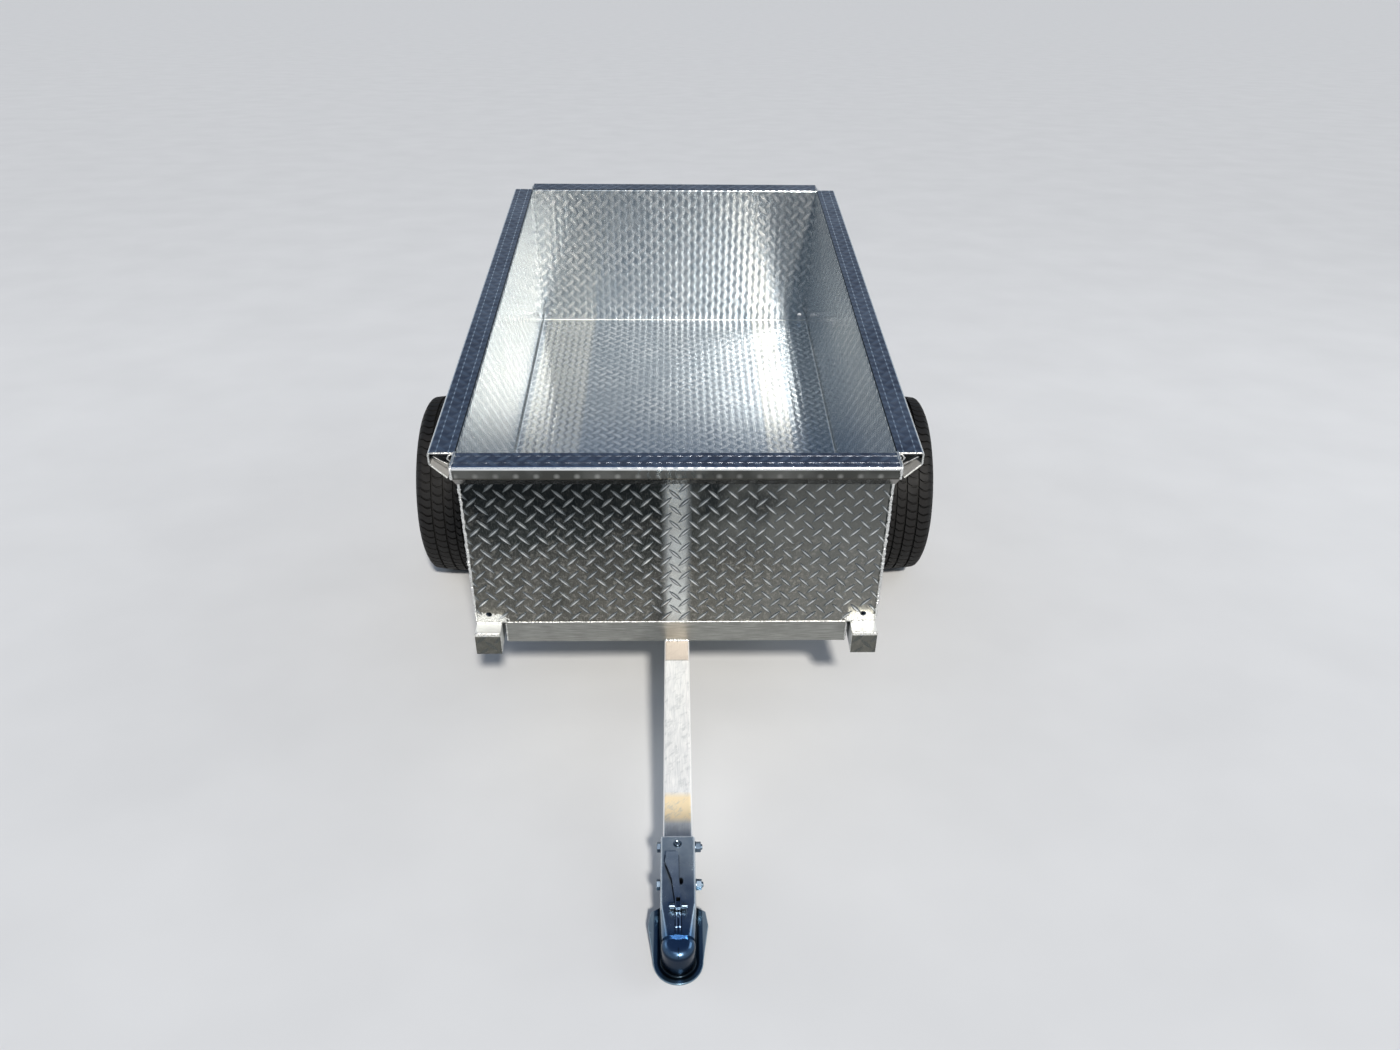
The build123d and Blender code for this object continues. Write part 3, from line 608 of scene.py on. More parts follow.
def couplerMarks(place, tone):
    x, y, z = place
    wide = abs(x)
    flangeTop, pin = shell["flangeTop"], shell["pin"]

    # painted reflections bluer over the dome and flange, a pale rim painted as a highlight, painted shade where the
    # wall meets the flange, and a painted dark reflection low on the dome
    tone = blend(ramp(y, -655.0, -695.0, 0.0, 0.85), tone, "#40668c")
    tone = blend(ramp(z, flangeTop + 12, flangeTop + 4, 0.0, 0.85), tone, "#5c7889")
    # painted highlight: the flange's rim strip made pale
    tone = blend(flangeRim(place) * 0.6, tone, "#8c9ca8")
    # painted shade at the dome's foot
    footShade = band(fromBall(x, y), 23.0, 32.5, 2.5) * ramp(z, flangeTop + 16, flangeTop + 5)
    tone = blend(footShade * 0.92, tone, "#12161b")
    # painted dark reflection low on the dome's front
    lowDomeReflection = ramp(z, -53.5, -61.0) * (y < shell["ball"] + 14) * ramp(z, flangeTop + 2, flangeTop + 6)
    tone = blend(lowDomeReflection * 0.92, tone, "#172131")

    # painted highlights along the bends and the rear edge
    bendHighlights = band(wide, 26.6, 28.4) * ramp(z, -53.0, -50.0) * (y > pin)
    tone = blend(ramp(y, shell["rear"] - 1.5, shell["rear"] - 0.9) | bendHighlights * 0.5, tone, "#e9eff4")

    # painted shade under the lever, whose edges widen in three stretches behind its pin
    behind = y - pin
    left, right = -5.3, 5.3
    for *stretch, leftStep, rightStep in ((13, 28, -2.3, -2.1), (28, 50, -2.4, -1.8), (50, 85, -11.5, -0.4)):
        left = left + ramp(behind, *stretch, 0.0, leftStep)
        right = right + ramp(behind, *stretch, 0.0, rightStep)
    leverShade = ramp(x - left, -1.3, -0.7) * ramp(right - x, -1.3, -0.7)
    leverShade = leverShade * band(behind, -8.0, 105.0) * (z > shell["top"] - 1.5)
    tone = blend(leverShade * 0.85, tone, "#1b2129")

    # painted shade along the pressed rib's lines ahead of the pin with a painted highlight on its crest, painted shade
    # in a slot beside the lever, and a line down the dome
    ribShadeLines = (band(wide, 4.4, 5.6) | ramp(wide, 1.3, 0.6)) * band(y, -697.0, -657.0)
    tone = blend(ribShadeLines * 0.75, tone, "#1f2b3d")
    crestHighlight = band(wide, 2.4, 3.5) * band(y, -690.0, -657.0)
    tone = blend(crestHighlight * 0.6, tone, "#e4f0fb")
    # painted shade in the slot beside the lever
    tone = blend(ramp(length(x - 4.8, (y + 597.0) * 0.55), 4.4, 3.4, 0.0, 0.9), tone, "#0c0f13")
    return blend(ramp(wide, 0.9, 0.4) * band(y, -731.0, -717.0) * 0.8, tone, "#1b2028")


def leverMarks(place, tone):
    # the lever's sides are painted dark as shade, and its top keeps the plating's tone
    _, _, z = place
    return blend(ramp(z, shell["leverTop"], shell["leverTop"] + 1), "#2b323b", tone)


tyre = {
    "out": 530.0, "back": 711.2, "up": -127.0, "radius": 228.6, "treadHalf": 86.0, "drop": 6.0,
    "pitches": 68, "grooves": (-60.8, -32.0, -7.7, 7.7, 32.0, 60.8), "grooveWide": 5.0,
    "grooveDeep": 6.5, "sipeWide": 0.2, "sipeDeep": 5.6,
}
tyre["crown"] = tyre["radius"] - 0.4


def makeRubber(name, colour, dusty, grooved=False):
    # carbon-black tyre rubber, moulded: deep grey, matt, with a trace of road dust
    material, shader = startFinish(name, colour, 0.0, 0.62)
    place = levelPlace(shader)
    dust = grain(place, 36.0, detail=5.0)
    tone = blend(ramp(dust, 0.42, 0.72), colour, dusty)
    if grooved:  # tops are rubbed grey, groove floors stay black
        x, y, z = place
        radius = length(y - tyre["back"], z - tyre["up"])
        fall = abs(abs(x) - tyre["out"]) ** 2.0 * (tyre["drop"] / tyre["treadHalf"] ** 2)
        depth = tyre["crown"] - fall - radius
        tone = blend(ramp(depth, 0.6, 3.0) * ramp(depth, 9.0, 7.5), tone, "#080808")
    feed(shader, {"Base Color": tone, "Roughness": ramp(dust, 0.3, 0.7, 0.6, 0.82),
                  "Specular IOR Level": 0.34})
    raised(shader, grain(place, 0.9, detail=2.0), 0.25, 0.0003)
    return material


def makeRimPaint():
    # pressed steel wheel, pale silver enamel: a fine metallic fleck under a clear skin
    material, shader = startFinish("rimEnamel", "#c3c6c8", 0.55, 0.34)
    tree = shader.id_data
    place = pick(tree, "ShaderNodeTexCoord", None, "Object")
    fleck = pick(tree, "ShaderNodeTexNoise", {"Vector": place, "Scale": 900.0, "Detail": 2.0}, "Fac")
    film = pick(tree, "ShaderNodeTexNoise", {"Vector": place, "Scale": 22.0, "Detail": 4.0}, "Fac")
    tone = blend(ramp(fleck, 0.4, 0.6), "#b7babc", "#d2d5d6")
    feed(shader, {"Base Color": blend(ramp(film, 0.5, 0.8, 0.0, 0.35), tone, "#a59f95"),
                  "Roughness": ramp(film, 0.3, 0.7, 0.28, 0.46), "Coat Weight": 0.3})
    raised(shader, film, 0.1, 0.001)
    return material


finish = {
    "plate": makeTreadPlate(),
    "lug": makeLugMetal(),
    "crossTube": makeTubeMetal("extrudedTube", "#7f807c", "#aeafab", (0.03, 1, 1)),
    "sideMember": makeTubeMetal("extrudedMember", "#8f9290", "#c2c4c2", (1, 0.03, 1), "nose"),
    "tongue": makeTubeMetal("extrudedTongue", "#d3d6d8", "#f7f8f7", (1, 0.05, 1), "tongue"),
    "weld": makeWeldMetal(),
    "coupler": makeZinc("platedCoupler", "#8394a4", "#a5b3bd", 0.2, couplerMarks),
    "lever": makeZinc("platedLever", "#8899aa", "#aab9c6", 0.22, leverMarks),
    "fitting": makeZinc("platedFittings", "#5f6f80", "#8798a8", 0.24),
    "recess": makeZinc("dirtyRecess", "#15191d", "#22282e", 0.4),
    "turned": makeZinc("turnedSteel", "#7c7f80", "#a0a3a4", 0.32),
    "tyre": makeRubber("mouldedRubber", "#080809", "#111010", grooved=True),
    "valve": makeRubber("valveRubber", "#1e1e1e", "#2c2b2a"),
    "rim": makeRimPaint(),
}
print("finishes")

# Every solid that stays gets its finish
sides = ("_left", "_right")
wear = {
    "plate": ["floor_sheet", "wall_left", "wall_right", "wall_front", "wall_rear", "member_end_plates"],
    "crossTube": [*[f"cross_tube_{i}" for i in (1, 2, 3, 4)], "axle_tube", "axle_pad_left", "axle_pad_right"],
    "sideMember": ["side_member" + s for s in sides],
    "tongue": ["tongue_tube"],
    "coupler": ["coupler_body"],
    "lever": ["latch_lever"],
    "fitting": [*[n + s for n in ("wheel_nuts", "hub_cap") for s in sides],
                "ball_clamp", "latch_stud", "coupler_bolt_rear", "coupler_bolt_front"],
    "turned": [n + s for n in ("spindle", "hub") for s in sides],
    "rim": ["rim" + s for s in sides],
    "valve": ["valve" + s for s in sides],
}
for kind, names in wear.items():
    for name in names:
        nodes[name].data.materials.clear()
        nodes[name].data.materials.append(finish[kind])


# Geometry Nodes: a tree with named inputs, and its result as a plain mesh
def startTree(name, sockets):
    tree = bpy.data.node_groups.new(name, "GeometryNodeTree")
    tree.is_modifier = True
    for label, kind in sockets.items():
        tree.interface.new_socket(label, in_out="INPUT", socket_type="NodeSocket" + kind)
    tree.interface.new_socket("Geometry", in_out="OUTPUT", socket_type="NodeSocketGeometry")
    return tree, {s.name: Wire(s) for s in put(tree, "NodeGroupInput").outputs if s.name}


def endTree(tree, shape, material, faceted=False):
    loose = pick(tree, "GeometryNodeRealizeInstances", {"Geometry": shape})
    smooth = pick(tree, "GeometryNodeSetShadeSmooth", {"Geometry": loose, "Shade Smooth": not faceted})
    done = pick(tree, "GeometryNodeSetMaterial", {"Geometry": smooth, "Material": material})
    put(tree, "NodeGroupOutput", {"Geometry": done})
    return tree


def grow(name, tree, values, start=None):
    obj = newObject(name, start or meshOf(name, [(0, 0, 0)]))
    modifier = obj.modifiers.new("grow", "NODES")
    modifier.node_group = tree
    for item in tree.interface.items_tree:
        if item.in_out == "INPUT" and item.name in values:
            modifier[item.identifier] = values[item.name]
    graph = bpy.context.evaluated_depsgraph_get()
    mesh = bpy.data.meshes.new_from_object(obj.evaluated_get(graph), depsgraph=graph)
    obj.modifiers.clear()
    obj.data = mesh
    mesh.materials.clear()
    mesh.materials.append(values["Material"])
    mesh.polygons.foreach_set("material_index", [0] * len(mesh.polygons))
    return obj


def joined(name, objects):
    whole = bmesh.new()
    finishes = list(dict.fromkeys(obj.data.materials[0] for obj in objects))
    for obj in objects:
        start = len(whole.faces)
        whole.from_mesh(obj.data)
        whole.faces.ensure_lookup_table()
        for face in whole.faces[start:]:
            face.material_index = finishes.index(obj.data.materials[0])
    mesh = bpy.data.meshes.new(name)
    whole.to_mesh(mesh)
    whole.free()
    for material in finishes:
        mesh.materials.append(material)
    for obj in objects:
        bpy.data.objects.remove(obj)
    return newObject(name, mesh)


# Rolled lugs on the outer side of the plate, in two crossing rows, cut off at each sheet's edges
def lugMesh():
    half, wide, tall, sunk = lug["long"] / 2, lug["wide"] / 2, lug["tall"], -0.3
    points = [(-half, 0, sunk)]
    for along, width, height in ((-0.72, 0.5, 0.78), (-0.26, 0.96, 1), (0.26, 0.96, 1), (0.72, 0.5, 0.78)):
        points.append((along * half, -width * wide, sunk))
        for aside, up in ((-0.45, 0.7), (0, 1), (0.45, 0.7)):
            points.append((along * half, aside * width * wide, up * height * tall))
        points.append((along * half, width * wide, sunk))
    points.append((half, 0, sunk))
    faces = [(0, k + 1, k) for k in range(1, 5)]
    for a in (1, 6, 11):
        faces += [(a + k, a + k + 1, a + k + 6, a + k + 5) for k in range(4)]
    faces += [(21, k, k + 1) for k in range(16, 20)]
    return meshOf("lug", points, faces)


def lugTree():
    tree, given = startTree("rolledLugs", {
        "Lug": "Object", "Columns": "Int", "Rows": "Int", "Pitch": "Vector", "First": "Vector",
        "Panel Middle": "Vector", "Panel Half": "Vector", "Spare": "Float",
        "Hole": "Vector", "Hole Clear": "Float", "Material": "Material",
    })
    shape = pick(tree, "GeometryNodeObjectInfo", {"Object": given["Lug"]}, "Geometry")
    spot = pick(tree, "GeometryNodeInputPosition")
    columnPitch, rowPitch, _ = given["Pitch"]
    both = put(tree, "GeometryNodeJoinGeometry")
    for turn, shift in ((-pi / 4, 0.0), (pi / 4, 0.5)):
        grid = pick(tree, "GeometryNodeMeshGrid", {
            "Size X": (given["Columns"] - 1.0) * columnPitch,
            "Size Y": (given["Rows"] - 1.0) * rowPitch,
            "Vertices X": given["Columns"],
            "Vertices Y": given["Rows"],
        })
        moved = calc("MULTIPLY", given["Pitch"], (shift, shift, 0), kind="VectorMath")
        moved = calc("ADD", moved, given["First"], kind="VectorMath")
        grid = pick(tree, "GeometryNodeTransform", {"Geometry": grid, "Translation": moved})
        beyond = calc("SUBTRACT", spot, given["Panel Middle"], kind="VectorMath")
        beyond = calc("ABSOLUTE", beyond, kind="VectorMath")
        beyond = calc("SUBTRACT", beyond, given["Panel Half"], kind="VectorMath")
        beyond = calc("MAXIMUM", beyond, (0, 0, 0), kind="VectorMath")
        beyond = calc("LENGTH", beyond, kind="VectorMath", output="Value")
        beyond = pick(tree, "FunctionNodeCompare", {0: beyond, 1: given["Spare"]})
        x, y, _ = spot
        folded = pick(tree, "ShaderNodeCombineXYZ", {0: abs(x), 1: y})
        reach = calc("DISTANCE", folded, given["Hole"], kind="VectorMath", output="Value")
        holed = {0: reach, 1: given["Hole Clear"]}
        holed = pick(tree, "FunctionNodeCompare", holed, operation="LESS_THAN")
        drop = pick(tree, "FunctionNodeBooleanMath", {0: beyond, 1: holed}, operation="OR")
        kept = pick(tree, "GeometryNodeDeleteGeometry", {"Geometry": grid, "Selection": drop})
        feed(both, {0: pick(tree, "GeometryNodeInstanceOnPoints", {
            "Points": kept, "Instance": shape, "Rotation": (0, 0, turn),
        })})
    loose = pick(tree, "GeometryNodeRealizeInstances", {"Geometry": Wire(both.outputs[0])})
    low = calc("SUBTRACT", given["Panel Middle"], given["Panel Half"], kind="VectorMath")
    high = calc("ADD", given["Panel Middle"], given["Panel Half"], kind="VectorMath")
    inside = calc("MAXIMUM", spot, low, kind="VectorMath")
    inside = calc("MINIMUM", inside, high, kind="VectorMath")
    cut = pick(tree, "GeometryNodeSetPosition", {"Geometry": loose, "Position": inside})
    cut = pick(tree, "GeometryNodeMergeByDistance", {"Geometry": cut, "Distance": 0.02})
    return endTree(tree, cut, given["Material"], faceted=True)


def panelFrame(origin, up, out):
    up, out = Vector(up), Vector(out)
    return Matrix.Translation(origin) @ Matrix((up.cross(out), up, out)).transposed().to_4x4()


oneLug = newObject("oneLug", lugMesh())
lugRows = lugTree()


def lugPanel(place, middle, half, first, columns, rows, clear=0.0, worn=1.0):
    # middle, half and first are places across and up the panel
    panel = grow("panel", lugRows, {
        "Lug": oneLug, "Columns": columns, "Rows": rows,
        "Pitch": (lug["across"], lug["up"], 0.0), "First": (*first, 0.0),
        "Panel Middle": (*middle, 0.0), "Panel Half": (*half, 20.0), "Spare": 4.0,
        "Hole": (*sheets["hole"], 0.0), "Hole Clear": clear, "Material": finish["lug"],
    })
    panel.data.transform(place @ Matrix.Scale(worn, 4, (0, 0, 1)))
    return panel


lugPieces = {}
half, long, member = box["half"], box["long"], box["member"]
walls = {"wide": 403.0, "low": 4.0, "high": 398.0, "endInset": 5.0, "clear": 21.0}
middleUp = (walls["low"] + walls["high"]) / 2
halfUp = (walls["high"] - walls["low"]) / 2
sideReach = long / 2 - walls["endInset"]
for name, origin, out, reach in (
    ("lugs_front", (0, 0, 0), (0, -1, 0), walls["wide"]),
    ("lugs_rear", (0, long, 0), (0, 1, 0), walls["wide"]),
    ("lugs_left", (-half, long / 2, 0), (-1, 0, 0), sideReach),
    ("lugs_right", (half, long / 2, 0), (1, 0, 0), sideReach),
):
    endWall = out[0] == 0
    start = (lug["firstAcross"] if endWall else 6.0, lug["firstUp"] + 5 * lug["up"])
    lugPieces[name] = [lugPanel(
        panelFrame(origin, (0, 0, 1), out), (0, middleUp), (reach, halfUp), start,
        25 if endWall else 41, 13, clear=walls["clear"] if endWall else 0.0)]

# underside of the floor, in the bays between the tongue, the members and the cross tubes
bays = {"inner": 28.0, "outer": 353.0, "step": 457.2, "gap": 3.0}
lugPieces["lugs_floor"] = []
for side in (-1, 1):
    for bay in range(3):
        near = member + bay * bays["step"] + bays["gap"]
        far = (bay + 1) * bays["step"] - bays["gap"]
        middle = (side * (bays["inner"] + bays["outer"]) / 2, (near + far) / 2)
        lugPieces["lugs_floor"].append(lugPanel(
            panelFrame((0, 0, 0), (0, 1, 0), (0, 0, -1)), middle,
            ((bays["outer"] - bays["inner"]) / 2, (far - near) / 2), (0.0, middle[1]), 25, 15))

# end plates of the side members, whose lugs are worn low
plates = {"middle": 381.0, "drop": -25.4, "half": 24.6, "rearClip": 5.5}
lugPieces["lugs_end_plates"] = []
for y, way, clip in ((-box["nose"], -1, 0.0), (long + box["nose"], 1, plates["rearClip"])):
    for middle in (-plates["middle"], plates["middle"]):
        lugPieces["lugs_end_plates"].append(lugPanel(
            panelFrame((0, y, 0), (0, 0, 1), (0, way, 0)), (middle, plates["drop"] + clip),
            (plates["half"], plates["half"] - clip), (middle + 6, plates["drop"] - 4), 5, 5, worn=0.25))
for name, panels in lugPieces.items():
    piece = joined(name, panels)
    give(piece, "root", "tread_plate")
    print(name, len(piece.data.polygons))
bpy.data.objects.remove(oneLug)


# Weld beads, each run along its seam, and the spring's wire
def sweepTree(name, extra, shape):
    # sweeps a ring along edges; shape gives the bent line, and the ring's size along it
    sockets = {"Geometry": "Geometry", "Radius": "Float", "Material": "Material"}
    tree, given = startTree(name, {**sockets, **extra})
    line = pick(tree, "GeometryNodeMeshToCurve", {0: given["Geometry"]})
    line, size = shape(tree, line, given)
    ring = pick(tree, "GeometryNodeCurvePrimitiveCircle", {"Resolution": 8, "Radius": 1.0})
    sweep = pick(tree, "GeometryNodeCurveToMesh", {
        "Curve": line, "Profile Curve": ring, "Scale": size, "Fill Caps": True,
    })
    return endTree(tree, sweep, given["Material"])


def bumpy(tree, line, given):
    line = pick(tree, "GeometryNodeResampleCurve", {"Curve": line, "Length": 1.4}, mode="LENGTH")
    spot = pick(tree, "GeometryNodeInputPosition")
    wander = pick(tree, "ShaderNodeTexNoise", {"Vector": spot, "Scale": 0.11, "Detail": 2.0}, "Color")
    wander = calc("SUBTRACT", wander, (0.5, 0.5, 0.5), kind="VectorMath")
    wander = pick(tree, "ShaderNodeVectorMath", {0: wander, "Scale": given["Uneven"]}, operation="SCALE")
    line = pick(tree, "GeometryNodeSetPosition", {"Geometry": line, "Offset": wander})
    run = pick(tree, "GeometryNodeSplineParameter", None, "Length")
    ripples = abs(calc("SINE", run / given["Ripple"] * pi))
    lumps = pick(tree, "ShaderNodeTexNoise", {"Vector": spot, "Scale": 0.13, "Detail": 1.0}, "Fac")
    return line, (ripples * 0.26 + lumps * 1.7 - 0.05) * given["Radius"]


welds = sweepTree("weldRipples", {"Ripple": "Float", "Uneven": "Float"}, bumpy)
wires = sweepTree("bentWire", {}, lambda tree, line, given: (line, given["Radius"]))


def chain(name, points):
    return meshOf(name, points, edges=[(i, i + 1) for i in range(len(points) - 1)])


def bead(points, radius, ripple=5.0, uneven=1.2, side=1):
    # points on the right side, or mirrored to the left
    seam = chain("seam", [(side * x, y, z) for x, y, z in points])
    look = {"Radius": radius, "Ripple": ripple, "Uneven": uneven, "Material": finish["weld"]}
    return grow("bead", welds, look, seam)


def across(reach, y, z, *look):
    return bead([(-reach, y, z), (reach, y, z)], *look)


# each seam of a rail corner: its points, then radius, ripple and unevenness of its bead
over, besideWall = box["rail"], half + 0.5
frontSeams = (
    ([(half + 1.5, 0.6, 405), (half + 47, 0.6, 405)], 1.7, 5.0, 1.0),
    ([(half + 3.5, 0.4, 404), (half + 3.0, 0.4, 384)], 1.9, 5.0, 1.8),
    ([(half + x, 0.3, z) for x, z in ((3, 403), (11, 401), (15, 394), (9, 387))], 1.5, 5.0, 1.6),
    ([(half + 14, 1.5, 380), (half + 40, 1.5, 397)], 1.0, 5.0, 1.0),
    ([(half + 0.8, 1.5 - over, 386), (half + 0.8, 4 - over, 380)], 2.9, 6.0, 2.0),
    ([(besideWall, y, z) for y, z in ((2, 406.2), (5 - over, 406.2), (-over, 401), (-over, 382))],
     2.6, 5.0, 2.0),
)
rearSeams = (  # the rear rail's far edge is the highest place, and its bead lies lower
    ([(besideWall, long - 2, 406), (besideWall, long + over - 28, 405)], 2.4, 5.0, 2.0),
    ([(besideWall, long + over - 1, 398), (besideWall, long + over - 1, 383)], 2.4, 5.0, 2.0),
)
beads = {"corner_welds": [], "rail_welds": [], "frame_welds": []}
corner, rail, tubes = beads.values()
for side in (-1, 1):
    for y, way, seams in ((0, -1, frontSeams), (long, 1, rearSeams)):
        corner.append(bead([(half, y, 6), (half, y, 402)], 3.2, 6.0, 4.2, side))
        rail += [bead(*seam, side=side) for seam in seams]
        inEdge, nose = half - member, y + way * 35
        tubes += [
            bead([(inEdge + 2, nose, 0), (half - 1, nose, 0)], 2.2, side=side),
            bead([(inEdge + 2, y + way * 1.5, 1), (half - 1, y + way * 1.5, 1)], 2.6, side=side),
            bead([(inEdge, nose, -2), (inEdge, nose, -member + 2)], 1.2, side=side),
        ]
for y in (0, long):
    tubes.append(across(half - member - 10, y, 0.6, 1.5, 7.0, 1.6))
    tubes.append(across(24, y, -member + 0.4, 3.4, 6.0, 2.6))
rail.append(across(half - 6, long - box["sheet"] - 0.6, box["sheet"] + 0.5, 1.0, 9.0, 0.6))

# tubes to each other: the first cross tube is shorter, and the tongue ends before the last one
axleTop, tongueEnd = -2 * member, 1016.0
for y in (i * bays["step"] for i in range(4)):
    for side in (-1, 1):
        end = half - member - (0 if y else 7.6)
        for edge in (y + 0.4, y + member - 0.4):
            tubes.append(bead([(end, edge, -3), (end, edge, -member + 3)], 1.8, side=side))
            if y < tongueEnd:
                tubes.append(across(24, edge, -member - 0.3, 2.0))
for edge in (tyre["back"] - member / 2, tyre["back"] + member / 2):
    tubes.append(across(22, edge, axleTop, 2.0))
    for side in (-1, 1):
        tubes.append(bead([(inEdge + 3, edge, axleTop), (half - 6, edge, axleTop)], 2.0, side=side))
for edge in (tyre["back"] - 38.1, tyre["back"] + 38.1):
    for side in (-1, 1):
        tubes.append(bead([(inEdge + 2, edge, -member), (half - 2, edge, -member)], 2.0, side=side))
for name, runs in beads.items():
    give(joined(name, runs), "root", "mill_aluminium" if name == "frame_welds" else "tread_plate")
print("welds")


# Tyres: one pitch of the tread, repeated round the wheel
# down a tyre's outer side and in over its bead: across from the tread's edge, radius, sipe depth
tyreSide = [
    (4.5, 220.0, 4.2), (9.0, 215.0, 3.2), (12.5, 209.0, 1.6), (14.4, 204.5, 0.0), (14.6, 202.5, 0.0),
    (16.2, 201.2, 0.0), (18.6, 190.0, 0.0), (20.0, 176.0, 0.0), (19.2, 160.0, 0.0), (16.4, 146.0, 0.0),
    (12.6, 136.0, 0.0), (13.4, 134.5, 0.0), (13.4, 131.0, 0.0), (9.6, 128.5, 0.0), (4.4, 119.0, 0.0),
    (3.0, 114.5, 0.0), (-1.0, 104.2, 0.0), (-6.0, 102.2, 0.0), (-14.0, 102.2, 0.0), (-10.0, 122.0, 0.0),
    (4.0, 160.0, 0.0), (4.0, 190.0, 0.0), (-14.0, 213.0, 0.0),
]


def tyreSegment():
    treadHalf = tyre["treadHalf"]
    crown = lambda x: tyre["crown"] - tyre["drop"] * (x / treadHalf) ** 2
    stations = []  # across, radius, sipe depth, shift of the sipe round the tyre as a share of a pitch
    edges = [-treadHalf, *tyre["grooves"], treadHalf]
    half = tyre["grooveWide"] / 2
    for rib in range(7):
        left = edges[rib] + (half if rib else 0)
        right = edges[rib + 1] - (half if rib < 6 else 0)
        shoulder = rib in (0, 6)
        offset = 0.5 * (rib % 2)
        steps = 6 if shoulder else 4
        for k in range(steps + 1):
            share = k / steps
            x = left + (right - left) * share
            bow = -0.24 * sin(pi * share) + 0.26 * (0.5 - share)
            depth = tyre["sipeDeep"] * (1.0 if shoulder else 0.8)
            stations.append((x, crown(x), depth, offset + bow))
        if rib < 6:
            last = stations[-1][3]
            ahead = 0.5 * ((rib + 1) % 2) + 0.11
            for k, aside in enumerate((-half + 0.5, half - 0.5)):
                x = edges[rib + 1] + aside
                shift = last + (ahead - last) * (k + 0.5) / 2
                stations.append((x, crown(x) - tyre["grooveDeep"], 0.0, shift))
    flanks = []
    for sign, first in ((1, stations[-1][3]), (-1, stations[0][3])):
        # the shoulder's grooves lean as they run on down the side, then straighten
        shifts = [first - sign * 0.035 * (k + 1) for k in range(3)]
        shifts += [shifts[2] * max(0.0, 1 - (k - 2) / 8) for k in range(3, len(tyreSide))]
        flanks.append([(sign * (treadHalf + x), r, d, s) for (x, r, d), s in zip(tyreSide, shifts)])
    ring = stations + flanks[0] + flanks[1][::-1]
    angle = 2 * pi / tyre["pitches"]
    sipe = tyre["sipeWide"]
    marks = (0.0, 0.15, 0.3, 0.5 - sipe / 2 - 0.02, 0.5 - sipe / 2 + 0.02, 0.5 + sipe / 2 - 0.02,
             0.5 + sipe / 2 + 0.02, 0.7, 0.85, 1.0)
    points, faces = [], []
    for j, mark in enumerate(marks):
        for x, r, depth, shift in ring:
            turn = (mark + shift) * angle
            radius = r - (depth if j in (4, 5) else 0)
            points.append((x, -radius * cos(turn), radius * sin(turn)))
    count = len(ring)
    for j in range(len(marks) - 1):
        for k in range(count):
            a, b = j * count + k, j * count + (k + 1) % count
            faces.append((a, a + count, b + count, b))
    return meshOf("tyreSegment", points, faces)


def tyreTree():
    sockets = {"Segment": "Object", "Pitches": "Int", "Material": "Material"}
    tree, given = startTree("tyrePitches", sockets)
    turn = pick(tree, "GeometryNodeInputIndex") * (2 * pi) / given["Pitches"]
    wheel = pick(tree, "GeometryNodeInstanceOnPoints", {
        "Points": pick(tree, "GeometryNodePoints", {"Count": given["Pitches"], "Position": (0, 0, 0)}),
        "Instance": pick(tree, "GeometryNodeObjectInfo", {"Object": given["Segment"]}, "Geometry"),
        "Rotation": pick(tree, "ShaderNodeCombineXYZ", {0: turn}),
    })
    loose = pick(tree, "GeometryNodeRealizeInstances", {"Geometry": wheel})
    whole = pick(tree, "GeometryNodeMergeByDistance", {"Geometry": loose, "Distance": 0.02})
    return endTree(tree, whole, given["Material"])


segment = newObject("segment", tyreSegment())
pitches = tyreTree()
tyreInputs = {"Segment": segment, "Pitches": tyre["pitches"], "Material": finish["tyre"]}
for side, x in (("left", -tyre["out"]), ("right", tyre["out"])):
    body = grow("tread_tyre_" + side, pitches, tyreInputs)
    give(body, "wheel_" + side, "tyre_rubber", "tyre_" + side, at=(x, tyre["back"], tyre["up"]))
    body.data.set_sharp_from_angle(angle=radians(38))
    print("tyre", side, len(body.data.polygons))
bpy.data.objects.remove(segment)


# Coupler fittings: bolts with washers, a rivet in its ring, the latch's spring
def dressedPart(points, faces, kind):
    part = newObject("part", meshOf("part", points, faces))
    part.data.materials.append(finish[kind])
    return part


def lathe(profile, kind="fitting", sides=32):
    # turned about Z from (radius, height) pairs, where a radius of 0 closes an end
    points, faces, rings = [], [], []
    for radius, height in profile:
        count = sides if radius else 1
        rings.append(range(len(points), len(points) + count))
        points += [(radius * cos(2 * pi * k / sides), radius * sin(2 * pi * k / sides), height)
                   for k in range(count)]
    for low, high in zip(rings, rings[1:]):
        for k in range(sides):
            after = (k + 1) % sides
            corners = ((low, k), (low, after), (high, after), (high, k))
            face = list(dict.fromkeys(ring[i % len(ring)] for ring, i in corners))
            if len(face) > 2:
                faces.append(face)
    part = dressedPart(points, faces, kind)
    part.data.shade_smooth()
    part.data.set_sharp_from_angle(angle=radians(30))
    return part


def hexagon(across, low, high, chamfer=0.9):
    # a hexagon whose corners are turned down at its top
    points, faces = [], []
    for height, scale in ((low, 1.0), (high - chamfer, 1.0), (high, 0.92)):
        radius = across / sqrt(3) * scale
        points += [(radius * cos(pi * k / 3), radius * sin(pi * k / 3), height) for k in range(6)]
    for ring in (0, 6):
        faces += [(ring + k, ring + (k + 1) % 6, ring + (k + 1) % 6 + 6, ring + k + 6) for k in range(6)]
    return dressedPart(points, faces + [(5, 4, 3, 2, 1, 0), (12, 13, 14, 15, 16, 17)], "fitting")


bolt = {"radius": 4.75, "across": 15.4, "head": 6.6, "nut": 10.0, "end": 2.6, "side": 29.2, "up": -63.3,
        "rear": -515.5, "front": -591.7, "washer": 9.6, "bore": 4.8, "washerThick": 1.5, "pitch": 1.25}


def threaded(radius, start, end):
    profile = [(0, start), (radius, start)]
    for k in range(int((end - start - 1) / bolt["pitch"])):
        base = start + k * bolt["pitch"]
        profile += [(radius, base + 0.25), (radius - 0.6, base + 0.62), (radius, base + 1.0)]
    return profile + [(radius, end - 0.9), (radius - 0.9, end), (0, end)]


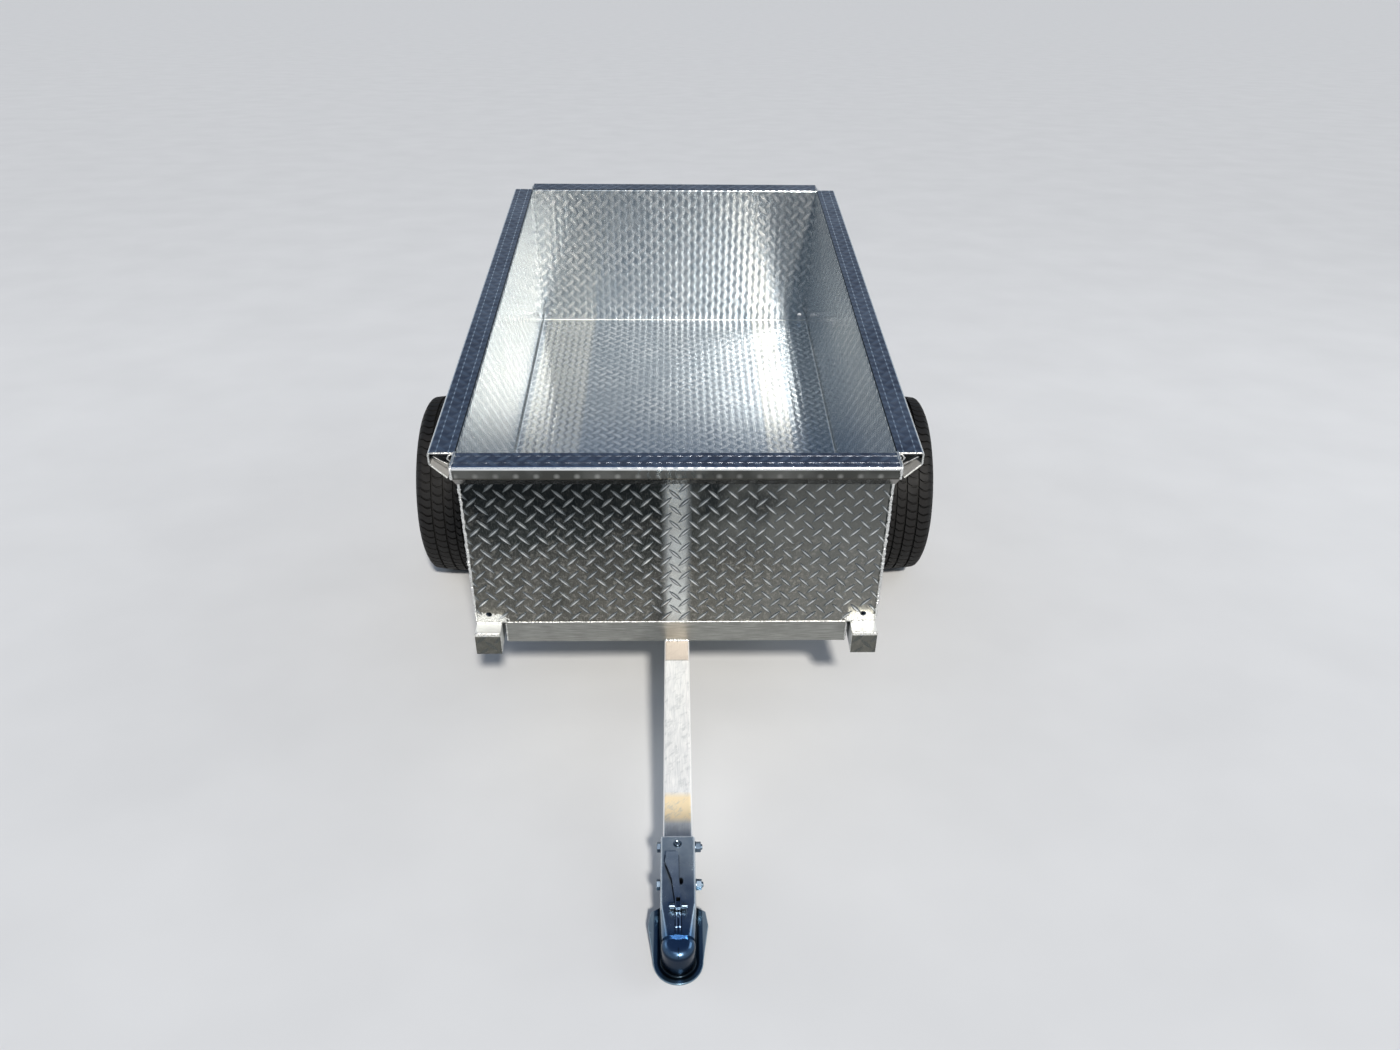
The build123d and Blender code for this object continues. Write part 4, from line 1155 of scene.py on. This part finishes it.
# heights from the middle of the coupler: heads on the left, washers and nuts on the right
side, outer = bolt["side"], bolt["washer"]
headTop, nutLow, nutTop = side + bolt["head"], side + bolt["washerThick"], side + bolt["nut"]
for name in ("rear", "front"):
    left = [
        hexagon(bolt["across"], side, headTop),
        lathe([(0, headTop - 0.4), (5.6, headTop - 0.4), (5.3, headTop), (4.9, headTop - 0.25),
               (0, headTop - 0.1)]),
    ]
    right = [
        lathe([(0, side), (outer - 0.2, side), (outer, side + 0.2), (outer, nutLow - 0.2),
               (outer - 0.2, nutLow), (bolt["bore"], nutLow), (0, nutLow)]),
        hexagon(bolt["across"], nutLow, nutTop),
        lathe(threaded(bolt["radius"], nutTop - 2, nutTop + bolt["end"]), sides=24),
    ]
    for parts, turn in ((left, -pi / 2), (right, pi / 2)):
        for part in parts:
            part.data.transform(Matrix.Rotation(turn, 4, "Y"))
    give(joined("bolt_" + name, left + right), "root", "zinc_steel", "coupler_bolt_" + name,
         at=(0, bolt[name], bolt["up"]))

rivet = {"place": (-0.6, -522.0, shell["top"]), "ring": 7.6, "head": 3.9}
ring, head = rivet["ring"], rivet["head"]
give(joined("coupler_rivet", [
    lathe([(ring - 2.2, -0.2), (ring, -0.2), (ring, 0.5), (ring - 0.5, 1.1), (ring - 1.3, 1.1),
           (ring - 2.2, 0.3), (ring - 2.2, -0.2)]),
    lathe([(0, 0.1), (head, 0.1), (head, 0.7), (head - 0.9, 1.5), (1.5, 1.9), (1.2, 1.3), (0, 1.1)]),
    lathe([(0, -0.1), (ring - 1.8, -0.1), (ring - 1.8, 0.35), (0, 0.35)], "recess"),
]), "root", "zinc_steel", at=rivet["place"])

spring = {"coil": 4.3, "wire": 0.5, "turns": 2, "steps": 12, "start": 6.4, "pitch": 3.3, "up": -40.2}
coils = []
for side in (-1, 1):
    path = []
    for k in range(spring["turns"] * spring["steps"] + 1):
        turn = 2 * pi * k / spring["steps"] - pi / 2
        x = side * (spring["start"] + spring["pitch"] * k / spring["steps"])
        back, up = spring["coil"] * cos(turn), spring["coil"] * sin(turn)
        path.append((x, shell["pin"] + back, spring["up"] + up))
    # its leg runs back down to the channel's top and turns in
    for inward, back, up in ((0, 7, 1.8), (1.0, 15, 0.9), (3.5, 18, 0.9)):
        path.append((x - side * inward, shell["pin"] - back, shell["top"] + up))
    look = {"Radius": spring["wire"], "Material": finish["fitting"]}
    coils.append(grow("coil", wires, look, chain("springPath", path)))
give(joined("latch_spring", coils), "root", "zinc_steel")
print("coupler fittings")


# Pale studio floor and soft light
def lamp(name, kind, energy, way):
    light = newObject(name, bpy.data.lights.new(name, kind))
    light.data.energy = energy
    light.rotation_mode = "QUATERNION"
    light.rotation_quaternion = way.to_track_quat("-Z", "Y")
    return light


studio = {"reach": 450.0, "sunPower": 3.9, "sunWay": (-0.14, 0.78, -0.6), "sunAngle": 5,
          "aim": (0, -0.2, 0.3)}
s = studio["reach"]
studioFloor = newObject("studio_floor", meshOf(
    "studio_floor", [(-s, -s, 0), (s, -s, 0), (s, s, 0), (-s, s, 0)], [(0, 1, 2, 3)]))
material, shader = startFinish("paleFloor", "#d9d8d5", 0.0, 0.85)
place = pick(shader.id_data, "ShaderNodeTexCoord", None, "Object")
mottle = pick(place.tree, "ShaderNodeTexNoise", {"Vector": place, "Scale": 3.0, "Detail": 3.0}, "Fac")
feed(shader, {"Base Color": blend(ramp(mottle, 0.3, 0.7), "#d2d4d6", "#d7d9db")})
studioFloor.data.materials.append(material)
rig.stage(studioFloor)

world = bpy.data.worlds.new("softSky")
bpy.context.scene.world = world
world.use_nodes = True
_, _, high = pick(world.node_tree, "ShaderNodeTexCoord", None, "Generated")
tone = fromHex("#cfd0d1")
for start, end, colour in ((0.02, 0.3, "#b3bcc5"), (0.3, 0.5, "#7f8fa2"), (0.5, 0.73, "#667a93"),
                           (0.74, 0.78, "#34496b")):
    tone = blend(ramp(high, start, end), tone, colour)
feed(world.node_tree.nodes["Background"], {"Color": tone, "Strength": 1.0})

sun = lamp("key", "SUN", studio["sunPower"], Vector(studio["sunWay"]))
sun.data.angle = radians(studio["sunAngle"])
sun.data.color = fromHex("#fff8ee")[:3]

# each soft box: middle, size, brightness of its face
softBoxes = {
    "rightSide": ((4.0, 0.2, 3.2), (2.6, 2.2), 1.6),
    "leftSide": ((-4.2, 0.6, 3.0), (2.4, 2.0), 1.0),
    "frontTop": ((-0.8, -4.6, 5.2), (3.5, 1.6), 1.6),
}
for name, (place, (wide, tall), bright) in softBoxes.items():
    soft = lamp(name, "AREA", bright * pi * wide * tall, Vector(studio["aim"]) - Vector(place))
    soft.data.shape = "RECTANGLE"
    soft.data.size, soft.data.size_y = wide, tall
    soft.location = place
print("studio")

bpy.context.view_layer.update()
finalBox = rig.bounds()
json.dump({"cad": [list(corner) for corner in cadBox], "visual": [list(corner) for corner in finalBox]},
          open("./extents.json", "w"))
